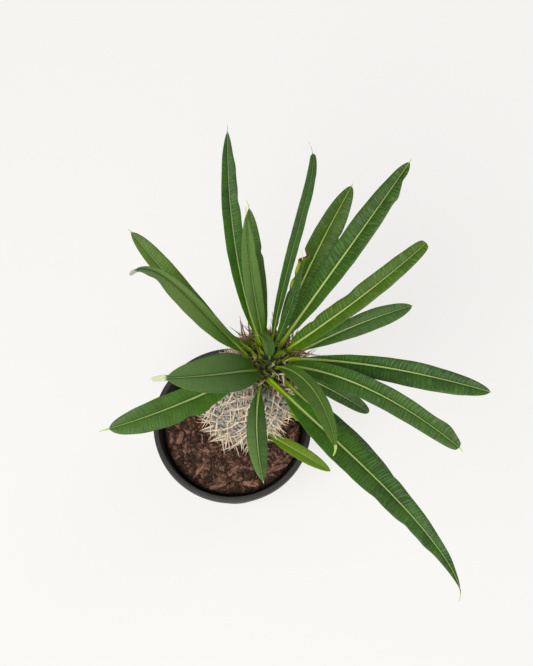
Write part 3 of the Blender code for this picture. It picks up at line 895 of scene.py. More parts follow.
def litter_tree():
    """Scatters rough chips on a surface and keeps them inside the wall of the pot."""
    made = Builder(
        "litter",
        (
            ("Density", "Float", 1e5),
            ("Smallest", "Vector", (0.002, 0.001, 0.001)),
            ("Largest", "Vector", (0.005, 0.003, 0.002)),
            ("Tilt", "Float", 0.5),
            ("Sink", "Float", 0.001),
            ("Roughness", "Float", 0.001),
            ("Reach", "Float", 0.05),
            ("Palest", "Float", 1.0),
            ("Darkest", "Float", 0.0),
            ("Seed", "Int", 1),
            ("Material", "Material", None),
        ),
    )
    given = made.given
    points = made.node(
        "GeometryNodeDistributePointsOnFaces",
        {"Mesh": given["Geometry"], "Density": given["Density"], "Seed": given["Seed"]},
    ).outputs[0]
    drop = made.chance(made.times(given["Sink"], -1.0), given["Sink"], 3)
    points = made.move(points, made.join(0.0, 0.0, drop))
    block = made.node(
        "GeometryNodeMeshCube",
        {"Size": (1, 1, 1), "Vertices X": 4, "Vertices Y": 3, "Vertices Z": 2},
    ).outputs[0]
    x, y, z = made.split(made.place())
    along = made.times(made.math("ABSOLUTE", x), 2.0)
    narrow = made.flip(made.times(made.math("POWER", along, 2.0), 0.55))
    block = made.put(block, made.join(x, made.times(y, narrow), made.times(z, narrow)))
    block = made.keep(block, "grain", made.place(), "FLOAT_VECTOR")
    back = made.times(given["Tilt"], -1.0)
    least = made.join(back, back, 0.0)
    most = made.join(given["Tilt"], given["Tilt"], math.tau)
    turn = made.chance(least, most, 5, "FLOAT_VECTOR")
    rotation = made.node("FunctionNodeEulerToRotation", {"Euler": turn}).outputs[0]
    scale = made.chance(given["Smallest"], given["Largest"], 7, "FLOAT_VECTOR")
    chips = made.spread(points, block, rotation, scale)
    tone = made.chance(given["Darkest"], given["Palest"], 11)
    chips = made.realize(made.keep(chips, "tone", tone, domain="INSTANCE"))
    chips = made.move(chips, made.scaled(made.shake(made.place(), 420, 2), given["Roughness"]))
    x, y, z = made.split(made.place())
    held = made.math("DIVIDE", given["Reach"], made.from_axis(made.place()))
    held = made.math("MINIMUM", held, 1.0)
    made.end(made.put(chips, made.join(made.times(x, held), made.times(y, held), z)))
    return made.tree


# Kinds of litter, with the names of the inputs of the tree that scatters them
Litter = namedtuple(
    "Litter", "name density smallest largest tilt sink roughness palest darkest seed"
)


def litter_kinds(soil):
    """The crumbs, chips and slivers: sizes, how they lie, and how rough and how pale they are."""
    per_metre = 1e4
    long, wide, crumb = soil.chip_length, soil.chip_width, soil.crumb_size
    crumbs, chips, slivers = (
        count * per_metre for count in (soil.crumbs, soil.chips, soil.slivers)
    )
    least = (crumb * 0.35, crumb * 0.3, crumb * 0.3)
    most = (crumb, crumb * 0.7, crumb * 0.5)
    yield Litter("soil_crumbs", crumbs, least, most, 0.9, 0.0007, 0.0008, 0.75, 0.0, 21)
    least = (long * 0.35, wide * 0.4, wide * 0.35)
    most = (long, wide, wide * 0.85)
    yield Litter("soil_chips", chips, least, most, 0.8, 0.0013, 0.0022, 0.93, 0.0, 22)
    least = (long * 0.8, wide * 0.16, wide * 0.12)
    most = (long * 1.9, wide * 0.34, wide * 0.24)
    yield Litter("soil_slivers", slivers, least, most, 0.22, 0.0006, 0.0012, 1.0, 0.9, 23)


def bed_height(x, y, top):
    """The soil's rough top: shallow heaps, a little lower by the wall."""
    heap = noise.fractal(Vector((x * 90, y * 90, 3.1)), 1.0, 2.0, 3)
    fall = WALL_FALL * ease(math.hypot(x, y), *FALL_BAND)
    return top - BED_DROP + HEAP * heap - fall


def build_soil(soil, pot):
    """The plug of fine mix, and on it coarse chips, crumbs and pale slivers."""
    top, floor = SOIL_HIGH.z, SOIL_LOW.z
    sides, rings = 120, 40
    edge = wall_inside(pot, top - 0.002) - WALL_GAP
    profile = [(0.0, top)]
    profile += [(edge * ring / rings, top) for ring in range(1, rings + 1)]
    for height in (top - 0.006, floor + 0.02, floor):
        profile.append((wall_inside(pot, height) - WALL_GAP, height))
    mesh = lathe("soil_bed", profile + [(0.0, floor)], sides)
    for vertex in mesh.vertices:
        if vertex.co.z > top - 0.0005:
            vertex.co.z = bed_height(vertex.co.x, vertex.co.y, top)
    seat(new_item("soil_bed", mesh, bed_finish(soil)), "potting_mix", "soil")

    finish = mix_finish(soil)
    tree = litter_tree()
    for kind in litter_kinds(soil):
        values = kind._asdict()
        ground = litter_ground(top, edge - 0.0016)
        item = new_item(values.pop("name"), ground, finish, smooth=False)
        grow(item, tree, smooth=False, reach=edge - soil.moat, material=finish, **values)
        seat(item, "potting_mix")


def litter_ground(top, reach):
    """The soil's top round the stem, as the surface that litter is scattered on."""
    sides, rings = 72, 30
    hollow = stem_radius(top) - 0.002
    points, faces = [], []
    for ring in range(rings + 1):
        for index in range(sides):
            angle = math.tau * index / sides
            radius = reach * (0.02 + 0.98 * ring / rings)
            x, y = radius * math.cos(angle), radius * math.sin(angle)
            points.append((x, y, bed_height(x, y, top) + 0.0005))
    for face in band_faces(rings + 1, sides):
        middle = sum((Vector(points[corner]) for corner in face), Vector()) / 4
        if (middle.xy - Vector(STEM_FOOT)).length > hollow:
            faces.append(face)
    return mesh_of("litter_ground", points, faces)


def bark_finish(soil):
    """Weathered bark: ridged along its length, pale on the ridges."""
    made = Finish("bark_chunk")
    grain = made.mark("grain", vector=True)
    tone = made.mark("tone")
    stretched = made.vector("MULTIPLY", grain, (120, 1100, 1100))
    ridge = made.noise(stretched, 1, 5, 0.65)
    patch = made.noise(made.place, 260, 3)
    dry = made.blend(tone, soil.brown, soil.reddish)
    colour = made.blend(made.smooth(ridge, 0.34, 0.56), soil.dark, dry)
    pale = made.times(made.smooth(ridge, 0.55, 0.75), made.between(tone, 0.25, 0.85))
    colour = made.blend(pale, colour, soil.pale)
    dirt = made.times(made.smooth(patch, 0.52, 0.70), 0.6)
    made.feed("Base Color", made.blend(dirt, colour, soil.gap))
    made.feed("Roughness", made.between(patch, 0.75, 0.97))
    made.fix("Specular IOR Level", 0.25)
    made.emboss((ridge, 0.0005), (made.noise(made.place, 2200, 3), 0.0001))
    return made.material


def bark_mesh(order, piece):
    """A split, ridged splinter with broken ends, which carries its own grain and tone."""
    low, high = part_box(piece.name)
    centre = (Vector(low) + Vector(high)) / 2
    turn = math.radians(piece.turn)
    rows, columns = 34, 20
    points, grains = [], []
    for row in range(rows):
        x = row / (rows - 1) * 2 - 1
        taper = (1 - abs(x) ** 5) ** 0.5 * (1 - 0.34 * abs(x))
        for column in range(columns):
            angle = math.tau * column / columns
            shape = (abs(math.cos(angle)) ** 3 + abs(math.sin(angle)) ** 3) ** (-1 / 3)
            y, z = shape * math.cos(angle), shape * math.sin(angle)
            seed = Vector((x * 1.2 + order * 7.3, y * 2.6, z * 2.6))
            ridged = 1 + 0.16 * noise.fractal(seed * 1.7, 1.0, 2.0, 4)
            snapped = 0.12 * noise.noise(Vector((y * 3 + order, z * 3, x)))
            ahead = (x + snapped * abs(x) ** 6) * piece.length * MM / 2
            aside = y * taper * ridged * piece.width * MM / 2
            above = z * max(taper, 0.05) * ridged * piece.thickness * MM / 2
            local = Vector((ahead, aside, above))
            grains.append(local + Vector((order * 0.05, 0, 0)))
            x_turned = local.x * math.cos(turn) - local.y * math.sin(turn)
            y_turned = local.x * math.sin(turn) + local.y * math.cos(turn)
            points.append((centre.x + x_turned, centre.y + y_turned, centre.z + local.z))
    mesh = mesh_of(piece.name + "_chunk", points, tube_faces(rows, columns))
    carry(mesh, "grain", grains, "FLOAT_VECTOR")
    carry(mesh, "tone", [(order * 0.37) % 1.0] * len(points))
    outward(mesh)
    return mesh


def build_bark(soil):
    """Each larger piece as a splinter of bark, where its CAD node lies."""
    finish = bark_finish(soil)
    for order, piece in enumerate(BARK):
        item = new_item(piece.name + "_chunk", bark_mesh(order, piece), finish, smooth=False)
        seat(item, "bark", piece.name)


# ---------------------------------------------------------------- stem


def stem_radius(height):
    """A smooth curve through the profile's points, closing to nothing at the top."""
    heights = [point[0] for point in STEM_PROFILE]
    radii = [point[1] for point in STEM_PROFILE]
    if height >= heights[-1]:
        left = (STEM_TOP - height) / (STEM_TOP - heights[-1])
        return radii[-1] * math.sqrt(max(left, 0.0))
    index = int(np.clip(np.searchsorted(heights, height) - 1, 0, len(heights) - 2))
    before = max(index - 1, 0)
    after = min(index + 2, len(heights) - 1)
    span = heights[index + 1] - heights[index]
    along = (height - heights[index]) / span
    slope_in = (radii[index + 1] - radii[before]) / (heights[index + 1] - heights[before])
    slope_out = (radii[after] - radii[index]) / (heights[after] - heights[index])
    square = along * along
    cube = square * along
    return (
        (2 * cube - 3 * square + 1) * radii[index]
        + (cube - 2 * square + along) * span * slope_in
        + (3 * square - 2 * cube) * radii[index + 1]
        + (cube - square) * span * slope_out
    )


def stem_centre(height):
    """The stem's axis: it leans towards +X between two heights, and is upright below and above."""
    lean = STEM_LEAN * ease(height, LEAN_FROM, LEAN_TO)
    return Vector((STEM_FOOT[0] + lean, STEM_FOOT[1], height))


def skin_point(angle, height):
    """A point on the stem's smooth surface."""
    out = Vector((math.cos(angle), math.sin(angle), 0))
    return stem_centre(height) + out * stem_radius(height)


def skin_frame(angle, height):
    """The stem's outward normal and its upward and sideways directions at a point."""
    step = 0.0005
    side = Vector((-math.sin(angle), math.cos(angle), 0))
    up = skin_point(angle, min(height + step, STEM_TOP)) - skin_point(angle, height - step)
    up.normalize()
    return side.cross(up).normalized(), up, side


def tubercle_pitch(stem, height):
    """The distance between neighbouring tubercles at a height."""
    crowded = ease(height, *CROWDED_BAND)
    return stem.pitch + (stem.crown_pitch - stem.pitch) * crowded


FIRST_TUBERCLE = 0.0915
ROW_SHARE = 0.866  # rows of an even triangular pattern lie this share of its pitch apart
SKIN_FOOT = 0.071


def tubercle_seats(stem):
    """Angle and height of each tubercle, in spirals that keep the spacing even."""
    golden = math.pi * (3 - math.sqrt(5))
    seats = []
    height, index = FIRST_TUBERCLE, 0
    while height < STEM_TOP - 0.0008:
        slope = (stem_radius(height + 0.0007) - stem_radius(height - 0.0007)) / 0.0014
        seats.append((index * golden % math.tau, height))
        girth = math.tau * max(stem_radius(height), 0.003) * math.hypot(1, slope)
        height += tubercle_pitch(stem, height) ** 2 * ROW_SHARE / girth
        index += 1
    return seats


def skin_finish(stem):
    """Grey-green skin on the tubercles, corky in patches, with painted shade darkening the creases
    between them.
    """
    made = Finish("stem_skin")
    depth = made.mark("depth")
    crown = made.mark("crown")
    patch = made.noise(made.place, 130, 3)
    fine = made.noise(made.place, 1300, 4, 0.65)
    crackle = made.cells(made.place, 1500, "DISTANCE_TO_EDGE")
    colour = made.blend(made.smooth(patch, 0.40, 0.66), stem.skin, stem.cork)
    pale = made.times(made.smooth(fine, 0.46, 0.66), 0.8)
    colour = made.blend(pale, colour, stem.speckle)
    pit = made.flip(made.smooth(fine, 0.30, 0.46))
    colour = made.blend(made.times(pit, 0.6), colour, stem.crease)
    scar = made.flip(made.smooth(depth, 0.06, 0.20))
    colour = made.blend(made.times(scar, 0.8), colour, stem.scar)
    colour = made.blend(made.times(crown, 0.94), colour, stem.crown)
    # Painted shade: the creases between the tubercles are darkened towards near-black
    crease_shade_amount = made.times(made.smooth(depth, 0.56, 0.86), made.between(patch, 0.45, 1.2))
    crease = made.blend(crown, stem.crease, stem.hollow)
    made.feed("Base Color", made.blend(crease_shade_amount, colour, crease))
    made.feed("Roughness", made.between(fine, 0.55, 0.85))
    made.fix("Specular IOR Level", 0.22)
    made.emboss((crackle, 0.00012), (fine, 0.00018))
    return made.material


def tubercle_tree():
    """Raises a rounded tubercle about each seat point and notes how deep each place lies."""
    made = Builder(
        "tubercles",
        (
            ("Seats", "Object", None),
            ("Relief", "Float", 0.002),
            ("Wobble", "Float", 0.0004),
            ("Material", "Material", None),
        ),
    )
    given = made.given
    seats = made.node("GeometryNodeObjectInfo", {"Object": given["Seats"]}).outputs["Geometry"]
    place = made.place()
    sample = made.vector("ADD", place, made.scaled(made.shake(place, 260, 2), 0.0014))
    gap = made.node(
        "GeometryNodeProximity",
        {"Geometry": seats, "Sample Position": sample},
        target_element="POINTS",
    ).outputs["Distance"]
    reach = made.times(made.read("pitch"), 0.56)
    depth = made.math("MINIMUM", made.math("DIVIDE", gap, reach), 1.0)
    body = made.keep(given["Geometry"], "depth", depth)
    dome = made.math("SUBTRACT", 0.72, made.math("POWER", made.read("depth"), 2.4))
    lift = made.times(dome, given["Relief"])
    rough = made.math("SUBTRACT", made.noise(made.place(), 700, 3), 0.5)
    lift = made.plus(lift, made.times(rough, given["Wobble"]))
    lift = made.times(lift, made.read("bare"))
    normal = made.node("GeometryNodeInputNormal", {}).outputs[0]
    made.end(made.move(body, made.scaled(normal, lift)))
    return made.tree


def build_stem(stem):
    """The swollen stem, with a tubercle at every spiral seat."""
    rows, columns = 214, 236
    profile = [(0.0, STEM_LOW.z)]
    for row in range(rows):
        t = row / (rows - 1)
        part = t * 0.9 + 0.1 * math.sin(t * math.pi / 2)
        height = SKIN_FOOT + (STEM_TOP - 0.0004 - SKIN_FOOT) * part
        profile.append((stem_radius(height), height))
    profile.append((0.0, STEM_TOP))
    mesh = lathe("stem_body", profile, columns)
    crown, bare, pitch = [], [], []
    for vertex in mesh.vertices:
        height = vertex.co.z
        centre = stem_centre(height)
        vertex.co.x += centre.x
        vertex.co.y += centre.y
        crown.append(0.35 * ease(height, 0.190, 0.222) + 0.65 * ease(height, 0.218, 0.236))
        bare.append(ease(height, *BARE_BAND) * (1 - 0.5 * ease(height, *FLATTER_BAND)))
        pitch.append(tubercle_pitch(stem, height))
    carry(mesh, "crown", crown)
    carry(mesh, "bare", bare)
    carry(mesh, "pitch", pitch)
    finish = skin_finish(stem)
    item = new_item("stem_body", mesh, finish)
    points = [skin_point(*spot) for spot in tubercle_seats(stem)]
    seats = new_item("tubercle_seats", mesh_of("tubercle_seats", points))
    values = {"relief": stem.relief, "wobble": stem.wobble}
    grow(item, tubercle_tree(), seats=seats, material=finish, **values)
    bpy.data.objects.remove(seats)
    seat(item, "stem_skin", "stem")


# ---------------------------------------------------------------- spines


def spine_finish(spines):
    """Cream spines with amber tips on the stem, russet ones round the crown."""
    made = Finish("spine")
    along = made.mark("along")
    crown = made.mark("crown")
    shade = made.mark("shade")
    speck = made.noise(made.place, 900, 3)
    colour = made.blend(made.smooth(speck, 0.35, 0.70), spines.cream, spines.tan)
    tip = made.times(made.smooth(along, 0.50, 0.95), made.smooth(shade, 0.50, 0.90))
    colour = made.blend(tip, colour, spines.amber)
    aged = made.times(made.smooth(shade, 0.86, 0.97), 0.8)
    colour = made.blend(aged, colour, spines.amber)
    young = made.blend(made.smooth(along, 0.0, 0.6), spines.straw, spines.russet)
    colour = made.blend(made.smooth(crown, 0.0, 0.55), colour, young)
    made.feed("Base Color", colour)
    made.feed("Roughness", made.between(speck, 0.38, 0.62))
    made.fix("Specular IOR Level", 0.3)
    made.emboss((made.noise(made.place, 2400, 2), 0.00005))
    return made.material


def spine_tree():
    """Sets a tapered, slightly bent spine on every point, along the way that the point aims."""
    made = Builder(
        "spines",
        (
            ("Sides", "Int", 5),
            ("Rings", "Int", 3),
            ("Radius", "Float", 0.0005),
            ("Bend", "Float", 0.001),
            ("Seed", "Int", 1),
            ("Material", "Material", None),
        ),
    )
    given = made.given
    girth = made.times(given["Radius"], made.chance(0.7, 1.2, given["Seed"]))
    spines = made.stand(0.10, None, made.times(girth, made.read("girth")), 9)
    sway = made.shake(made.place(), 90, 1)
    curve = made.times(made.math("POWER", made.read("along"), 2.0), given["Bend"])
    spines = made.move(spines, made.scaled(sway, made.times(curve, 4.0)))
    made.end(spines)
    return made.tree


GUARD_STEPS = (-0.8, 0.0, 0.8)  # across a blade, as shares of its half width
GUARD_FOLD = 0.22
GUARD_LEAST = 0.0016


def leaf_guard():
    """Points on every leaf, and how far a spine keeps from each, so that no spine runs through one."""
    places = []
    for leaf in LEAVES:
        for along, point, heading, rise in midrib(leaf)[1:]:
            _, side, up = across(heading, rise, leaf.roll)
            wide = half_width(leaf, along)
            for step in GUARD_STEPS:
                lift = up * abs(step) * wide * GUARD_FOLD
                spot = point + side * wide * step + lift
                places.append((spot, max(wide * 0.5, GUARD_LEAST)))
    guard = kdtree.KDTree(len(places))
    for index, (point, _) in enumerate(places):
        guard.insert(point, index)
    guard.balance()
    return guard, [reach for _, reach in places]


def is_clear(start, end, guard, reaches):
    """Whether a straight line from start to end keeps off every leaf."""
    for step in (0.25, 0.5, 0.75, 1.0):
        _, index, gap = guard.find(start.lerp(end, step))
        if gap < reaches[index]:
            return False
    return True


# Spines: how far they splay off the skin in degrees, how long they are, how thick and how often tried.
# Old and crown lengths are shares of the settings, and thin ones are in metres.
OLD_SPLAY, OLD_LENGTHS, OLD_TRIES = (36, 68), (0.66, 1.15), 4
CROWN_SPLAY, CROWN_LENGTHS, CROWN_TRIES = (24, 44), (0.62, 1.15), 9
THIN_SPLAY, THIN_LENGTHS = (20, 65), (0.0040, 0.0090)
CROWN_GIRTH, THIN_GIRTH = 1.45, 0.42


class SpineSeat:
    """A tubercle as the spines on it see it: its directions and where on the stem it is."""

    def __init__(self, angle, height, stem):
        self.height = height
        self.normal, self.up, self.side = skin_frame(angle, height)
        self.crown = ease(height, *YOUNG_BAND)
        self.foot = skin_point(angle, height) + self.normal * stem.relief * (0.5 - 0.3 * self.crown)
        self.behind = ease(self.normal.y, -0.25, 0.35)
        self.outer = ease(self.normal.x, 0.5, 0.9)
        # Spines are fewer and shorter on the side that the stem leans to, and stouter near the soil
        self.shy = 0.35 * ease(self.normal.x, 0.2, 0.7) * (1 - ease(height, *SHY_BAND))
        self.stout = 0.30 * (1 - ease(height, *STOUT_BAND))

    def share_kept(self):
        """How likely each of the three old spines is to be there."""
        kept = 0.63 - 0.3 * self.behind * ease(self.height, 0.18, 0.20)
        kept *= 1 - ease(self.height, *LAST_OLD_BAND)
        return kept * (1 - self.shy) * (1 - 0.8 * self.stout)

    def aim(self, turn, splay, rise):
        """The way that a spine points, splayed off the normal and lifted by rise."""
        beside = self.side * math.cos(turn) + self.up * math.sin(turn)
        way = self.normal * math.cos(splay) + beside * math.sin(splay)
        return (way + Vector((0, 0, rise))).normalized()


class SpineBed:
    """Places spines where they clear the leaves and the soil, and keeps what is placed."""

    def __init__(self):
        self.guard, self.reaches = leaf_guard()
        self.ground = SOIL_HIGH.z + 0.001
        self.spots = []

    def place(self, foot, aim, reach, girth, youth):
        end = foot + aim * reach
        if end.z > self.ground and is_clear(foot, end, self.guard, self.reaches):
            self.spots.append((foot, aim, reach, girth, youth))
            return True
        return False


def old_spines(bed, spot, first, spines, chance):
    """Up to three long cream spines, a third of a turn apart."""
    for limb in range(3):
        for _ in range(OLD_TRIES):
            turn = math.radians(first + limb * 120 + chance.uniform(-20, 20))
            splay = math.radians(chance.uniform(*OLD_SPLAY))
            reach = spines.length * chance.uniform(*OLD_LENGTHS)
            reach *= 0.82 + 0.18 * ease(spot.height, 0.09, 0.12)
            reach *= (1 - spot.shy) * (1 + 0.4 * spot.stout)
            if chance.random() > spot.share_kept():
                break
            youth = 0.5 * spot.crown * spot.behind
            if bed.place(spot.foot, spot.aim(turn, splay, 0.0), reach, 1 + spot.stout, youth):
                break


def crown_spines(bed, spot, spines, chance):
    """A pair of stout young spines that stand up round the crown."""
    turn = chance.uniform(-40, 40)
    least, most = CROWN_SPLAY
    for limb in (0, 180):
        for _ in range(CROWN_TRIES):
            way = math.radians(turn + limb + chance.uniform(-15, 15))
            splay = math.radians(chance.uniform(least, most + 14 * spot.outer))
            reach = spines.crown_length * chance.uniform(*CROWN_LENGTHS)
            reach *= 0.6 + 0.4 * max(spot.behind, spot.outer)
            reach *= 1 - 0.62 * ease(spot.height, *SHORTER_BAND)
            youth = min(1.0, chance.uniform(0.45, 1.2)) * (0.25 + 0.75 * spot.behind)
            aim = spot.aim(way, splay, 0.32 - 0.22 * spot.outer)
            if bed.place(spot.foot, aim, reach, CROWN_GIRTH, youth):
                break


def thin_spines(bed, spot, chance):
    """Up to three short thin spines between the others."""
    for _ in range(3):
        turn = chance.uniform(0, math.tau)
        splay = math.radians(chance.uniform(*THIN_SPLAY))
        reach = chance.uniform(*THIN_LENGTHS)
        youth = chance.uniform(0.3, 1.0) * (0.15 + 0.85 * spot.crown)
        aim = spot.aim(turn, splay, 0.35 * spot.crown)
        bed.place(spot.foot, aim, reach, THIN_GIRTH, youth)


def spine_spots(spines, stem):
    """Foot, aim, length, girth and youth of every spine."""
    chance = random.Random(11)
    bed = SpineBed()
    for angle, height in tubercle_seats(stem):
        spot = SpineSeat(angle, height, stem)
        first = chance.uniform(52, 128)
        old_spines(bed, spot, first, spines, chance)
        on_crown = 0.1 < spot.crown and height < TOP_SEAT
        if on_crown and chance.random() < 0.34 + 0.4 * spot.outer:
            crown_spines(bed, spot, spines, chance)
        if height > THIN_FROM:
            thin_spines(bed, spot, chance)
    return bed.spots


def build_spines(spines, stem):
    """Every spine as a tapered cone on its tubercle."""
    spots = spine_spots(spines, stem)
    points, aims, lengths, girths, youths = zip(*spots)
    mesh = mesh_of("spines", points)
    carry(mesh, "aim", aims, "FLOAT_VECTOR")
    carry(mesh, "reach", lengths)
    carry(mesh, "girth", girths)
    carry(mesh, "crown", youths)
    finish = spine_finish(spines)
    item = new_item("spines", mesh, finish)
    values = {"radius": spines.radius, "bend": spines.bend, "seed": 4}
    grow(item, spine_tree(), sides=5, rings=3, material=finish, **values)
    seat(item, "stem_skin")


# ---------------------------------------------------------------- buds


def bud_finish(buds):
    """Young green, paler towards the foot, with darker tips on some."""
    made = Finish("bud")
    along, shade = made.mark("along"), made.mark("shade")
    streak = made.noise(made.place, 700, 3)
    colour = made.blend(made.smooth(along, 0.05, 0.7), buds.foot, buds.blade)
    dull = made.times(made.smooth(streak, 0.4, 0.7), 0.5)
    colour = made.blend(dull, colour, buds.dark)
    old = made.times(made.smooth(shade, 0.65, 0.85), 0.85)
    made.feed("Base Color", made.blend(old, colour, buds.dark))
    made.feed("Roughness", made.between(streak, 0.35, 0.55))
    made.fix("Specular IOR Level", 0.2)
    made.emboss((streak, 0.00012))
    return made.material


def bud_tree():
    """Sets a small folded leaf on every point, along the way that the point aims."""
    made = Builder(
        "buds",
        (
            ("Sides", "Int", 6),
            ("Rings", "Int", 5),
            ("Width", "Float", 0.001),
            ("Bend", "Float", 0.2),
            ("Seed", "Int", 1),
            ("Material", "Material", None),
        ),
    )
    given = made.given

    def leaf_shape(x, y, z):
        belly = made.times(made.times(z, made.flip(z)), 3.4)
        wide = made.times(x, made.plus(0.75, belly))
        sag = made.times(made.times(z, z), made.times(given["Bend"], 6.0))
        fold = made.times(made.math("ABSOLUTE", wide), 0.35)
        return made.join(wide, made.plus(made.times(y, 0.35), made.plus(sag, fold)), z)

    girth = made.times(given["Width"], made.chance(0.7, 1.25, given["Seed"]))
    made.end(made.stand(0.25, leaf_shape, girth, 5))
    return made.tree


BUD_TRIES = 5
BUD_SINK = 0.0005


def build_buds(buds, stem):
    """Small young leaves and leaf stubs, crowded on the crown between the leaf stalks."""
    chance = random.Random(5)
    guard, reaches = leaf_guard()
    points, aims, lengths = [], [], []
    for angle, height in tubercle_seats(stem):
        if height < buds.lowest:
            continue
        normal, up, side = skin_frame(angle, height)
        start = skin_point(angle, height) - normal * BUD_SINK
        for _ in range(BUD_TRIES):
            aim = normal + up * chance.uniform(-0.1, 0.6) + side * chance.uniform(-0.5, 0.5)
            aim = (aim + Vector((0, 0, 0.9))).normalized()
            reach = buds.length * chance.uniform(0.55, 1.25)
            if is_clear(start, start + aim * reach, guard, reaches):
                points.append(start)
                aims.append(aim)
                lengths.append(reach)
                break
    mesh = mesh_of("crown_buds", points)
    carry(mesh, "aim", aims, "FLOAT_VECTOR")
    carry(mesh, "reach", lengths)
    finish = bud_finish(buds)
    item = new_item("crown_buds", mesh, finish)
    values = {"width": buds.width, "bend": 0.22, "seed": 8}
    grow(item, bud_tree(), sides=6, rings=5, material=finish, **values)
    seat(item, "leaf_green")


# ---------------------------------------------------------------- leaves


def direction(heading, rise):
    """The unit vector of a heading and a rise in degrees."""
    level = math.cos(math.radians(rise))
    turn = math.radians(heading)
    return Vector((level * math.cos(turn), level * math.sin(turn), math.sin(math.radians(rise))))


def course(leaf, along):
    """The midrib's heading and rise at a share of its length."""
    heading = leaf.heading + leaf.turn * along**leaf.turn_power
    return heading, leaf.rise - leaf.droop * along**leaf.droop_power


def midrib(leaf):
    """Shares, points and directions along the midrib, from the seat to the tip."""
    point = skin_point(math.radians(leaf.angle), leaf.height * MM)
    stride = leaf.length * MM / MIDRIB_STEPS
    track = []
    for index in range(MIDRIB_STEPS + 1):
        along = index / MIDRIB_STEPS
        track.append((along, point.copy(), *course(leaf, along)))
        point += direction(*course(leaf, (index + 0.5) / MIDRIB_STEPS)) * stride
    return track


def station_at(track, along):
    """Point, heading and rise of the midrib at a share of its length."""
    place = along * MIDRIB_STEPS
    index = min(int(place), MIDRIB_STEPS - 1)
    _, point, heading, rise = track[index]
    _, next_point, next_heading, next_rise = track[index + 1]
    part = place - index
    heading += (next_heading - heading) * part
    rise += (next_rise - rise) * part
    return point.lerp(next_point, part), heading, rise


def half_width(leaf, along):
    """Half the blade's width: a stalk, a widening blade and a tip as sharp as leaf.tip says."""
    stalk = leaf.width * MM * PETIOLE_WIDTH / 2
    if along <= PETIOLE_SHARE:
        return stalk
    past = (along - PETIOLE_SHARE) / (1 - PETIOLE_SHARE)
    if past >= 1:
        return TIP_RADIUS
    power = leaf.tip * leaf.widest / (1 - leaf.widest)
    swell = (past / leaf.widest) ** power * ((1 - past) / (1 - leaf.widest)) ** leaf.tip
    return max(leaf.width * MM / 2 * swell, stalk if along < 0.5 else TIP_RADIUS)


def across(heading, rise, roll):
    """The blade's ahead, sideways and upward directions at a station."""
    ahead = direction(heading, rise)
    turn = math.radians(heading)
    side = Vector((-math.sin(turn), math.cos(turn), 0))
    up = ahead.cross(side)
    angle = math.radians(roll)
    rolled_side = side * math.cos(angle) + up * math.sin(angle)
    return ahead, rolled_side, up * math.cos(angle) - side * math.sin(angle)


def side_veins(made, reach, away, hand, pitch):
    """Counts the side veins along a blade, and says how far from the nearest a place is, up to 0.5.

    They run from the midrib to the margin, leaning towards the tip, unevenly spaced.
    """
    spacing = made.noise(made.join(made.times(reach, 120), hand, 0.0), 1.0, 2)
    phase = made.math("SUBTRACT", reach, made.times(away, 0.30))
    phase = made.math("DIVIDE", phase, pitch)
    phase = made.plus(phase, made.times(spacing, 4.2))
    phase = made.plus(phase, made.times(made.noise(made.place, 320, 2), 0.55))
    return phase, made.math("ABSOLUTE", made.math("SUBTRACT", made.math("FRACT", phase), 0.5))


